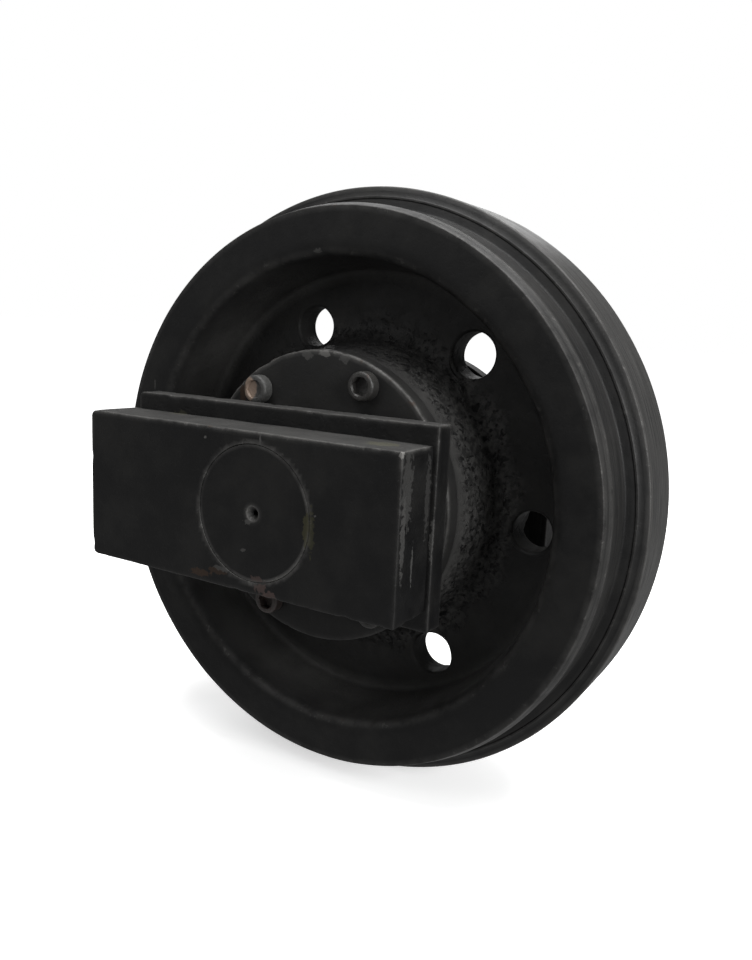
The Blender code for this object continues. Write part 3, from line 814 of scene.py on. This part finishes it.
def wheel_polish_and_sheen(place):
    """How brightly the track has polished the flange's top, the treads and the flange's sides, with a painted
    sheen in the flange top's paler colour.
    """
    radius, height = polar(place)
    flange_top = smoothstep(FLANGE_RADIUS - 0.002, FLANGE_RADIUS - 0.0005, radius)
    tread = smoothstep(0.2455, 0.2485, radius) - smoothstep(0.2505, 0.2525, radius)
    riser = smoothstep(0.2515, 0.2535, radius) * (1 - flange_top)
    return 0.95 * flange_top + 0.36 * tread * (height > 0.037) + 0.06 * riser


def make_wheel(materials):
    holes = [web_hole_cutter(*hole) for hole in WEB_HOLES]
    mesh = combined(wheel_mesh(), [joined(holes, "web_holes")], "DIFFERENCE")
    threads = screw_holes(THREAD_BOTTOM, 1) + screw_holes(THREAD_BOTTOM, -1)
    mesh = combined(mesh, [joined(threads, "threads")], "DIFFERENCE")
    place = positions(mesh)
    radius, height = polar(place)
    recess = smoothstep(0.122, 0.126, radius) * (1 - smoothstep(0.2, 0.209, radius))
    recess *= 1 - smoothstep(0.068, FACE_HEIGHT, height)
    flank = 1 - smoothstep(0.140, 0.166, radius + 7 * MM * noise(place, 16 * MM, 22))
    rough = recess * np.maximum(0.16, flank * smoothstep(0.124, 0.132, radius))
    # Dusting, with painted light and fill light in the recess
    dust_and_light = wheel_dust_and_light(place, recess, flank)
    store_paint(mesh, np.maximum(rough, 0.05), dust_and_light, wheel_wear_and_highlight(place), wheel_polish_and_sheen(place))
    new_piece("wheel_casting", mesh, materials["cast"], "wheel", ["idler_wheel"])


# ---------------------------------------------------------------- hub covers and screws


def cover_outline():
    corners = [
        (COVER_RADIUS, COVER_HEIGHT, COVER_CHAMFER),
        (COVER_RADIUS, COVER_INNER_HEIGHT, COVER_ROUNDING),
        (GROOVE_OUTER, COVER_INNER_HEIGHT, 0),
        (GROOVE_OUTER, COVER_INNER_HEIGHT + GROOVE_DEPTH, 0),
        (GROOVE_INNER, COVER_INNER_HEIGHT + GROOVE_DEPTH, 0),
        (GROOVE_INNER, COVER_INNER_HEIGHT, 0),
        (COVER_BORE_RADIUS, COVER_INNER_HEIGHT, 0),
        (COVER_BORE_RADIUS, COVER_SEAT_HEIGHT, 0),
        (COVER_SEAL_RADIUS, COVER_SEAT_HEIGHT, 0),
        (COVER_MOUTH_RADIUS, COVER_HEIGHT, COVER_ROUNDING),
    ]
    return spaced(rounded(corners, 4), lambda p: 0.003 if p.y > 0.08 and p.x > 0.08 else 0.01)


def make_cover(word, side, materials):
    mesh = lathe(word + "_cover_disc", cover_outline(), COVER_STEPS, side)
    place = positions(mesh)
    radius, height = polar(place)
    rim = smoothstep(0.1225, 0.1268, radius) * smoothstep(0.086, 0.0925, height)
    nicks = smoothstep(0.45, 0.85, noise(place, 7 * MM, 31 + side))
    amount = 0.10 * MM * noise(place, 28 * MM, 33) - rim * 0.9 * MM * nicks
    push(mesh, np.where((radius > 0.095) & (height > 0.079), amount, 0))
    mesh = combined(mesh, [joined(screw_holes(0.07, side), "holes")], "DIFFERENCE")
    place = positions(mesh)
    radius, height = polar(place)
    # The rim's edge pale as worn paint and a painted highlight, strongest at the top, where the light falls
    edge = bell(np.hypot(radius - COVER_RADIUS, height - COVER_HEIGHT), 0.0024)
    edge *= 0.2 + 0.8 * smoothstep(-0.04, 0.07, place[:, 2])
    wear_and_highlight = edge * (0.8 + 0.4 * noise(place, 40 * MM, 35))
    store_paint(mesh, 0.05, 0.26 + 0.10 * noise(place, 22 * MM, 36), wear_and_highlight, 0)
    stands_for = [word + "_hub_cover"]
    new_piece(word + "_cover_disc", mesh, materials["cover"], "wheel", stands_for)


def hexagon(width, top, bottom, side):
    """What cuts a hexagon socket with a pointed bottom."""
    corner = width / math.sqrt(3)
    corners = [(0, top), (corner, top), (corner, bottom), (0, bottom - SOCKET_TIP)]
    return turned("hexagon", corners, 6, side)


def screw_mesh(side, seed, depth):
    """A socket head screw lying along Y, its head rounded over by years of hammering and paint."""
    round_centre = HEAD_RADIUS - HEAD_ROUNDING, HEAD_TOP - HEAD_ROUNDING
    corners = [(0, HEAD_TOP), (HEAD_RADIUS * 0.60, HEAD_TOP)]
    for angle in np.linspace(0, math.pi / 2, 6):
        out, up = HEAD_ROUNDING * math.sin(angle), HEAD_ROUNDING * math.cos(angle)
        corners.append((round_centre[0] + out, round_centre[1] + up))
    corners += [
        (HEAD_RADIUS, HEAD_SEAT + 0.004),
        (HEAD_RADIUS, HEAD_SEAT + 0.0004),
        (HEAD_RADIUS - 0.0004, HEAD_SEAT),
        (SHANK_RADIUS, HEAD_SEAT),
        (SHANK_RADIUS, SHANK_TIP + 0.001),
        (SHANK_RADIUS - 0.001, SHANK_TIP),
        (0, SHANK_TIP),
    ]
    mesh = turned("screw", corners, 72, side)
    place = positions(mesh)
    head = smoothstep(HEAD_SEAT + 0.002, HEAD_TOP, np.abs(place[:, 1]))
    push(mesh, head * 0.16 * MM * noise(place + 0.7 * seed, 5 * MM, seed))
    turn = Matrix.Rotation(math.radians(37 * seed), 4, "Y")
    socket = moved(hexagon(SOCKET_WIDTH, HEAD_TOP + 0.01, HEAD_TOP - depth, side), turn)
    above, below = HEAD_TOP + 0.004, HEAD_TOP - 0.0016
    flare = turned("flare", [(0, above), (0.0122, above), (0.0066, below), (0, below)], 48, side)
    return combined(mesh, [socket, flare], "DIFFERENCE")


def make_screws(word, side, materials):
    """The screws of one side. Front screw 3 is bare, with a painted highlight on its head, and its socket
    filled, and front screw 5 is rusty.
    """
    special = {("front", 3): "bright_screw", ("front", 5): "rusty_screw"}
    for number in range(1, SCREW_COUNT + 1):
        kind = special.get((word, number), "screw")
        depth = FILLED_SOCKET_DEPTH if kind == "bright_screw" else SOCKET_DEPTH
        mesh = screw_mesh(side, number + (0 if side < 0 else SCREW_COUNT), depth)
        mesh = moved(mesh, Matrix.Translation(screw_place(number)))
        stands_for = [f"{word}_cover_bolt_{number}"]
        new_piece(f"{word}_screw_{number}", mesh, materials[kind], "wheel", stands_for)


# ---------------------------------------------------------------- shaft


def shaft_mesh():
    groove_low, groove_high = SHAFT_GROOVE
    half = [
        (0, SHAFT_END),
        (0.030, SHAFT_END),
        (SHAFT_RADIUS - 0.0009, SHAFT_END),
        (SHAFT_RADIUS - 0.00025, SHAFT_END - 0.00025),
        (SHAFT_RADIUS, SHAFT_END - 0.0009),
        (SHAFT_RADIUS, groove_high),
        (SHAFT_GROOVE_RADIUS, groove_high),
        (SHAFT_GROOVE_RADIUS, groove_low),
        (SHAFT_RADIUS, groove_low),
    ]
    outline = [Vector(p) for p in half] + [Vector((r, -h)) for r, h in reversed(half)]
    outline = spaced(outline, lambda p: 0.0025 if abs(p.y) > 0.16 else 0.02, closed=False)
    mesh = lathe("shaft_bar", outline, 192, 1)
    place = positions(mesh)
    end = smoothstep(0.178, 0.180, np.abs(place[:, 1]))
    push(mesh, end * 0.06 * MM * noise(place, 12 * MM, 41))
    return mesh


def shaft_cutters():
    """The centre-drilled front end, the plug's seat, the oil way and its branch, and the pin holes."""
    drill = [(0, OPEN_END), (0.0155, OPEN_END), (0.0062, 0.1806), (0.0056, 0.1800)]
    drill += [(0.0021, 0.1762), (0.0021, 0.166), (0, 0.1655)]
    centre = turned("centre_hole", drill, 64, -1)
    seat = rod("plug_seat", PLUG_SEAT_RADIUS, 0.164, OPEN_END, 64, 1)
    way = rod("oil_way", OIL_WAY_RADIUS, 0.0, 0.17, 32, 1)
    branch = rod("cross_way", CROSS_WAY_RADIUS, 0.0, 0.06, 32, 1)
    branch = moved(branch, Matrix.Translation((0, CROSS_WAY_PLACE, 0)) @ UPRIGHT)
    return [centre, seat, way, branch, pin_hole(-1), pin_hole(1)]


def make_shaft(materials):
    mesh = combined(shaft_mesh(), shaft_cutters(), "DIFFERENCE")
    place = positions(mesh)
    radius, height = polar(place)
    # A pale ring on the end's edge: worn paint and a painted highlight, stronger towards the lower right
    ring = smoothstep(SHAFT_RADIUS - 0.0020, SHAFT_RADIUS - 0.0004, radius)
    ring *= smoothstep(0.176, 0.1795, height)
    ring *= 0.65 + 0.35 * np.cos(np.arctan2(place[:, 2], place[:, 0]) + math.radians(50))
    mouth_edge = bell(radius - 0.006, 0.0012) * (place[:, 1] < -0.17)
    polish_and_sheen = np.where(height < 0.112, 1.0, 0.0)
    store_paint(mesh, 0.03, 0, ring + 0.8 * mouth_edge, polish_and_sheen)
    new_piece("shaft_bar", mesh, materials["shaft"], "support", ["shaft"])


def make_plug(materials):
    bevel = 0.0008
    corners = [(0, PLUG_TOP), (PLUG_RADIUS - bevel, PLUG_TOP), (PLUG_RADIUS, PLUG_TOP - bevel)]
    corners += [(PLUG_RADIUS, PLUG_BOTTOM), (0, PLUG_BOTTOM)]
    mesh = turned("filling_plug", corners, 64, 1)
    mesh = combined(mesh, [hexagon(PLUG_SOCKET_WIDTH, OPEN_END, 0.172, 1)], "DIFFERENCE")
    new_piece("filling_plug", mesh, materials["screw"], "support", ["oil_plug"])


def upright_at(side):
    """What turns a rod along Y to stand under the shaft, where the lock pin of this side is."""
    return Matrix.Translation((0, side * PIN_HEIGHT, 0)) @ UPRIGHT


def pin_hole(side):
    return moved(rod("pin_hole", PIN_HOLE_RADIUS, -0.08, -0.015, 40, 1), upright_at(side))


def make_pin(word, side, materials):
    bevel = 0.0008
    inner = PIN_RADIUS - bevel
    corners = [(0, -0.0153), (inner, -0.0153), (PIN_RADIUS, -0.0161), (PIN_RADIUS, -0.062)]
    corners += [(inner, -0.063), (0, -0.063)]
    mesh = moved(turned(word + "_pin", corners, 48, 1), upright_at(side))
    new_piece(word + "_pin", mesh, materials["screw"], "support", [word + "_lock_pin"])


# ---------------------------------------------------------------- support blocks


def stops(low, high, edge, step):
    """Positions from low to high: close together within an edge's rounding, and about step apart between."""
    near = [0, 0.35 * edge, 0.7 * edge, edge, 2 * edge, 3.5 * edge]
    count = max(2, math.ceil((high - low - 7 * edge) / step))
    middle = np.linspace(low + 3.5 * edge, high - 3.5 * edge, count + 1)
    return np.concatenate([low + np.array(near[:-1]), middle, high - np.array(near[:-1])[::-1]])


def grid_box(low, high, edge, step):
    """A box as quads with rounded edges: its points, its faces and each point's distance to an edge."""
    lines = [stops(low[i], high[i], edge, step) for i in range(3)]
    points, faces, index = [], [], {}

    def number(key):
        if key not in index:
            index[key] = len(points)
            points.append([lines[i][key[i]] for i in range(3)])
        return index[key]

    for axis in range(3):
        u, v = [i for i in range(3) if i != axis]
        for end in (0, len(lines[axis]) - 1):
            for i in range(len(lines[u]) - 1):
                for j in range(len(lines[v]) - 1):
                    corners = []
                    for di, dj in ((0, 0), (1, 0), (1, 1), (0, 1)):
                        key = [0, 0, 0]
                        key[axis], key[u], key[v] = end, i + di, j + dj
                        corners.append(number(tuple(key)))
                    flipped = (axis == 1) != (end == 0)
                    faces.append(corners[::-1] if flipped else corners)
    points = np.array(points)
    low, high = np.array(low), np.array(high)
    to_face = np.sort(np.minimum(points - low, high - points), axis=1)
    inner = np.clip(points, low + edge, high - edge)
    out = points - inner
    length = np.linalg.norm(out, axis=1)
    points = inner + out * (np.abs(out).max(axis=1) / np.maximum(length, 1e-9))[:, None]
    return points, faces, to_face[:, 1]


def round_yoke_corners(points, yoke, half_height, radius):
    """Rounds the two edges along Y at the yoke end by pulling square rings round each corner into circles."""
    for way in (-1, 1):
        centre = np.array([yoke + radius, way * (half_height - radius)])
        out = points[:, [0, 2]] - centre
        inside = (out[:, 0] < 0) & (out[:, 1] * way > 0)
        length = np.linalg.norm(out, axis=1)
        share = np.abs(out).max(axis=1) / np.maximum(length, 1e-9)
        points[inside, 0] = (centre[0] + out[:, 0] * share)[inside]
        points[inside, 2] = (centre[1] + out[:, 1] * share)[inside]
    return points


def worn_box(name, low, high, edge, step, corner, seed):
    """One box of a support block, with chipped edges and slightly uneven faces."""
    points, faces, to_edge = grid_box(low, high, edge, step)
    points = round_yoke_corners(points, low[0], high[2], corner)
    mesh = new_mesh(name, points, faces)
    near_edge = bell(to_edge, 0.0028)
    chips = smoothstep(0.30, 0.75, noise(points, 8 * MM, seed))
    chips += 0.6 * smoothstep(0.5, 0.8, noise(points, 3.5 * MM, seed + 1))
    amount = 0.22 * MM * noise(points, 33 * MM, seed + 2) + 0.08 * MM * noise(points, 9 * MM, seed + 3)
    push(mesh, amount - near_edge * chips * 0.9 * MM - 0.22 * MM)
    return mesh


def edge_wear_and_highlight(place, low, high, width):
    """1 on a box's edges, falling to 0 away from them."""
    low, high = np.array(low), np.array(high)
    to_face = np.sort(np.minimum(np.abs(place - low), np.abs(high - place)), axis=1)
    inside = np.all((place > low - MM) & (place < high + MM), axis=1)
    return np.where(inside & (to_face[:, 0] < 3 * MM), bell(to_face[:, 1], width), 0)


def block_cutters(side):
    """The shaft's bore with its seal housing, the two screw holes in the yoke end and the pin's hole."""
    housing = [
        (0, 0.2),
        (0.0558, 0.2),
        (0.0558, 0.18125),
        (0.0553, 0.1805),
        (0.0553, 0.1031),
        (COVER_SEAL_RADIUS, 0.1031),
        (0.0728, 0.09),
        (0, 0.09),
    ]
    yoke_hole = [(0, 0.05), (YOKE_HOLE_RADIUS, 0.05), (YOKE_HOLE_RADIUS, 0.0012)]
    yoke_hole += [(YOKE_THREAD_RADIUS, -0.0004), (YOKE_THREAD_RADIUS, -0.034), (0, -0.037)]
    hole = turned("yoke_hole", yoke_hole, 40, 1)
    cutters = [turned("housing", housing, 128, side)]
    for way in (-1, 1):
        place = Matrix.Translation((BLOCK_YOKE, side * PIN_HEIGHT, way * YOKE_HOLE_OFFSET))
        cutters.append(moved(hole, place @ Matrix.Rotation(math.pi / 2, 4, "Z")))
    return [*cutters, pin_hole(side)]


def box_between(side, yoke, nose, inner, outer, half_height):
    """The low and high corners of a box of a support block."""
    near, far = sorted((side * inner, side * outer))
    return (yoke, near, -half_height), (nose, far, half_height)


def make_block(word, side, materials):
    edges = BLOCK_YOKE, BLOCK_NOSE
    body_box = box_between(side, *edges, STEP_HEIGHT - OVERLAP, BLOCK_OUTER, BLOCK_HALF_HEIGHT)
    body = worn_box(word + "_block", *body_box, 1.5 * MM, BLOCK_STEP, 6 * MM, 51 + side)
    plate_box = box_between(side, PLATE_YOKE, PLATE_NOSE, PLATE_INNER, STEP_HEIGHT, PLATE_HALF_HEIGHT)
    plate = worn_box(word + "_plate", *plate_box, 1.3 * MM, BLOCK_STEP, 5 * MM, 61 + side)
    bevel, boss_top = 0.0006, PLATE_INNER + OVERLAP
    boss = [(0, boss_top), (BOSS_RADIUS, boss_top), (BOSS_RADIUS, BOSS_INNER + bevel)]
    boss += [(BOSS_RADIUS - bevel, BOSS_INNER), (0, BOSS_INNER)]
    mesh = combined(body, [plate, turned(word + "_boss", boss, 128, side)], "UNION")
    mesh = combined(mesh, block_cutters(side), "DIFFERENCE")
    place = positions(mesh)
    radius, height = polar(place)
    # A pale ring round the bore's edge: worn paint and a painted highlight
    ring = bell(radius - 0.0560, 0.0010) * smoothstep(0.178, 0.1805, height)
    body_box = box_between(side, *edges, 0.0, BLOCK_OUTER, BLOCK_HALF_HEIGHT)
    # Worn edges with a painted highlight on them, strong on the upper edges, where the light falls, and faint
    # low down
    body_wear_and_highlight = edge_wear_and_highlight(place, *body_box, 0.0022) * (height > STEP_HEIGHT + 0.003)
    body_wear_and_highlight *= 0.22 + 0.78 * smoothstep(0.02, 0.058, place[:, 2])
    plate_wear_and_highlight = edge_wear_and_highlight(place, *plate_box, 0.0018) * np.where(place[:, 2] > 0.06, 0.8, 0.3)
    patchy = 0.75 + 0.25 * noise(place, 30 * MM, 71)
    wear_and_highlight = patchy * np.maximum(body_wear_and_highlight, plate_wear_and_highlight) + 0.6 * ring
    # The upward faces made pale: a little dusting, and painted light from above
    facing_up = smoothstep(0.8, 0.98, vertex_normals(mesh)[:, 2])
    store_paint(mesh, 0.10, 0.95 * facing_up, wear_and_highlight, 0)
    name = word + "_block"
    new_piece(name, mesh, materials[name], "support", [word + "_support_block"])


# ---------------------------------------------------------------- scene


def make_materials():
    face, cap, wheel_face, plate = -BLOCK_OUTER, -COVER_HEIGHT, -FACE_HEIGHT, -STEP_HEIGHT
    nose, top, deep = BLOCK_NOSE, BLOCK_HALF_HEIGHT, 0.004
    block_marks = (
        (RUST, (-0.052, face, -0.0575), (0.012, deep, 0.0035), 0.7),
        (RUST, (-0.036, face, -0.0530), (0.010, deep, 0.003), 0.55),
        (RUBBED_AND_HIGHLIGHT, (-0.030, face, -0.0500), (0.010, deep, 0.0022), 0.7),
        (PINK_RUST, (0.010, face, -0.0585), (0.0060, deep, 0.0055), 0.55),
        (PINK_RUST, (0.019, face, -0.0635), (0.0065, 0.010, 0.0045), 0.6),
        (PINK_RUST, (0.018, plate, -0.0745), (0.0080, deep, 0.0070), 0.6),
        (RUBBED_AND_HIGHLIGHT, (0.0065, face, 0.0590), (0.0010, deep, 0.0065), 0.9),
        (CHIPPED_AND_HIGHLIGHT, (-0.050, face, 0.0553), (0.0013, deep, 0.0013), 0.35),
        (OLIVE, (0.0565, face, -0.004), (0.0040, deep, 0.018), 0.55),
        (RUBBED_AND_HIGHLIGHT, (0.0600, face, 0.0080), (0.0014, deep, 0.0010), 0.9),
        (SALLOW, (0.102, -0.157, top), (0.014, 0.010, deep), 0.45),
        (SALLOW, (-0.120, -0.139, top), (0.010, 0.006, deep), 0.3),
        # Painted highlights: the pale streaks on the nose's side face and on the plate's side, and the bright
        # top corner of the nose, which is chipped paint as well
        (RUBBED_AND_HIGHLIGHT, (nose, -0.1715, 0.0370), (deep, 0.0085, 0.0330), 0.55),
        (RUBBED_AND_HIGHLIGHT, (nose, -0.1400, 0.0270), (deep, 0.0040, 0.0360), 0.40),
        (RUBBED_AND_HIGHLIGHT, (nose, -0.1585, -0.0215), (deep, 0.0012, 0.0170), 0.9),
        (RUBBED_AND_HIGHLIGHT, (nose, -0.1740, -0.0010), (deep, 0.0035, 0.0310), 0.75),
        (CHIPPED_AND_HIGHLIGHT, (nose, face, 0.0625), (0.0028, 0.0035, 0.0028), 0.8),
        (RUBBED_AND_HIGHLIGHT, (PLATE_NOSE, plate, -0.008), (deep, 0.0016, 0.0180), 0.9),
    )
    shaft_marks = (
        (RUBBED_AND_HIGHLIGHT, (-0.0083, -SHAFT_END, -0.0305), (0.0032, deep, 0.0018), 0.75),
        (RUBBED_AND_HIGHLIGHT, (-0.0050, -SHAFT_END, -0.0070), (0.0045, deep, 0.0022), 0.8),
        (OLIVE, (0.0520, -SHAFT_END, -0.004), (0.0030, deep, 0.018), 0.7),
        (PINK_RUST, (0.006, -SHAFT_END, -0.052), (0.008, deep, 0.003), 0.5),
    )
    cover_marks = (
        # Pale spots on the cover's top rim: worn and chipped paint on its dents, with a painted highlight
        (RUBBED_AND_HIGHLIGHT, (-0.0150, cap, 0.1220), (0.0055, deep, 0.0045), 0.75),
        (CHIPPED_AND_HIGHLIGHT, (0.0028, cap, 0.1240), (0.0060, deep, 0.0032), 0.45),
        (RUBBED_AND_HIGHLIGHT, (0.0231, cap, 0.1220), (0.0050, deep, 0.0045), 0.75),
        (RUST, (-0.0850, cap, 0.0850), (0.0040, deep, 0.0080), 0.8),
    )
    wheel_marks = (
        (RUBBED_AND_HIGHLIGHT, (-0.0207, wheel_face, 0.2092), (0.0050, deep, 0.0028), 0.9),
        (RUBBED_AND_HIGHLIGHT, (-0.1861, wheel_face, 0.1781), (0.0010, deep, 0.0070), 0.7),
        (RUBBED_AND_HIGHLIGHT, (-0.2113, wheel_face, 0.0807), (0.0010, deep, 0.0060), 0.6),
    )
    return {
        "cast": painted_cast("black_painted_casting", wheel_marks),
        "cover": painted_cast("black_painted_cover", cover_marks),
        "front_block": painted_cast("black_painted_block", block_marks),
        "rear_block": painted_cast("black_painted_rear_block", streaks=0.25),
        "shaft": painted_cast("black_painted_shaft", shaft_marks),
        "screw": bare_steel("painted_screw_steel", SCREW_BLACK, SCREW_GREY, 0.26, 0.15),
        "bright_screw": two_sided_screw("bare_and_highlit_screw_steel"),
        "rusty_screw": bare_steel("rusted_screw_steel", RUSTY_BLACK, RUSTY_PINK, 0.42, 0.1),
        "bronze": plain_metal("bushing_bronze", BRONZE, 0.35),
        "seal": plain_metal("seal_iron", SEAL_IRON, 0.22),
        "rubber": rubber("seal_rubber"),
    }


def finish_hidden_pieces(materials):
    """The inner pieces stay as the CAD made them, with a better material."""
    for name, node in frame["nodes"].items():
        kind = None
        if name.endswith("bushing"):
            kind = "bronze"
        elif name.endswith("seal_ring"):
            kind = "seal"
        elif name.endswith(("rubber_ring", "o_ring")):
            kind = "rubber"
        if kind:
            node.data.materials.clear()
            node.data.materials.append(materials[kind])


def make_camera():
    azimuth, elevation = math.radians(CAMERA_AZIMUTH), math.radians(CAMERA_ELEVATION)
    roll = math.radians(CAMERA_ROLL)
    along = math.cos(elevation)
    forward = Vector((-math.sin(azimuth) * along, math.cos(azimuth) * along, -math.sin(elevation)))
    level = Vector((math.cos(azimuth), math.sin(azimuth), 0))
    upright = level.cross(forward)
    right = math.cos(roll) * level + math.sin(roll) * upright
    up = math.cos(roll) * upright - math.sin(roll) * level
    data = bpy.data.cameras.new("camera")
    data.sensor_width = CAMERA_SENSOR
    data.lens = CAMERA_LENS
    data.clip_start = CAMERA_CLIP
    camera = bpy.data.objects.new("camera", data)
    turn = Matrix((right, up, -forward)).transposed().to_4x4()
    camera.matrix_world = Matrix.Translation(CAMERA_PLACE) @ turn
    bpy.context.scene.collection.objects.link(camera)
    bpy.context.scene.camera = camera


def make_light(name, place, target, size, watts):
    data = bpy.data.lights.new(name, "AREA")
    data.shape = "RECTANGLE"
    data.size, data.size_y = size
    data.energy = watts
    light = bpy.data.objects.new(name, data)
    light.location = place
    light.rotation_mode = "QUATERNION"
    light.rotation_quaternion = (Vector(target) - Vector(place)).to_track_quat("-Z", "Y")
    light.visible_camera = False
    bpy.context.scene.collection.objects.link(light)


def make_world():
    """A soft sky that is brighter below, where a pale floor would throw light back, and a white backdrop."""
    world = bpy.data.worlds.new("studio")
    bpy.context.scene.world = world
    world.use_nodes = True
    world.node_tree.nodes.clear()
    studio = Nodes(world.node_tree)
    way = studio.add("TexCoord").outputs["Generated"]
    rise = studio.add("SeparateXYZ", way).outputs["Z"]
    strength = studio.add("MapRange", rise, *SKY_RAMP, SKY_LOW, SKY_HIGH).outputs[0]
    sky = studio.add("Background", WHITE, strength).outputs[0]
    backdrop = studio.add("Background", WHITE, 1.0).outputs[0]
    seen = studio.add("LightPath").outputs["Is Camera Ray"]
    mix = studio.add("MixShader", seen, sky, backdrop).outputs[0]
    studio.add("OutputWorld", mix)


def make_floor():
    """A wide pale floor just under the wheel. It takes shadows but throws no light back."""
    half = FLOOR_HALF_WIDTH
    level = CAD_BOX[0].z - FLOOR_GAP
    corners = [(-half, -half, level), (half, -half, level), (half, half, level), (-half, half, level)]
    mesh = bpy.data.meshes.new("floor")
    mesh.from_pydata(corners, [], [(0, 1, 2, 3)])
    p = Paint("pale_floor")
    away = p.vector("LENGTH", p.place, output="Value")
    glow = p.ramp(away, *FLOOR_GLOW_RANGE, FLOOR_GLOW, FLOOR_FAR_GLOW)
    p.feed(p.shader.inputs["Emission Strength"], glow)
    p.shader.inputs["Emission Color"].default_value = WHITE
    p.shader.inputs["Specular IOR Level"].default_value = 0.0
    material = p.finish(p.mix(p.noise(0.6), PALE_FLOOR, PALER_FLOOR), 0.9)
    mesh.materials.append(material)
    floor = bpy.data.objects.new("floor", mesh)
    floor.visible_diffuse = False
    floor.visible_glossy = False
    bpy.context.scene.collection.objects.link(floor)


def main():
    scene = bpy.context.scene
    scene.view_settings.view_transform = "Standard"
    materials = make_materials()
    finish_hidden_pieces(materials)
    make_wheel(materials)
    make_shaft(materials)
    make_plug(materials)
    for word, side in SIDES.items():
        make_cover(word, side, materials)
        make_screws(word, side, materials)
        make_block(word, side, materials)
        make_pin(word, side, materials)
    make_floor()
    make_world()
    for light in LIGHTS:
        make_light(*light)
    make_camera()


main()
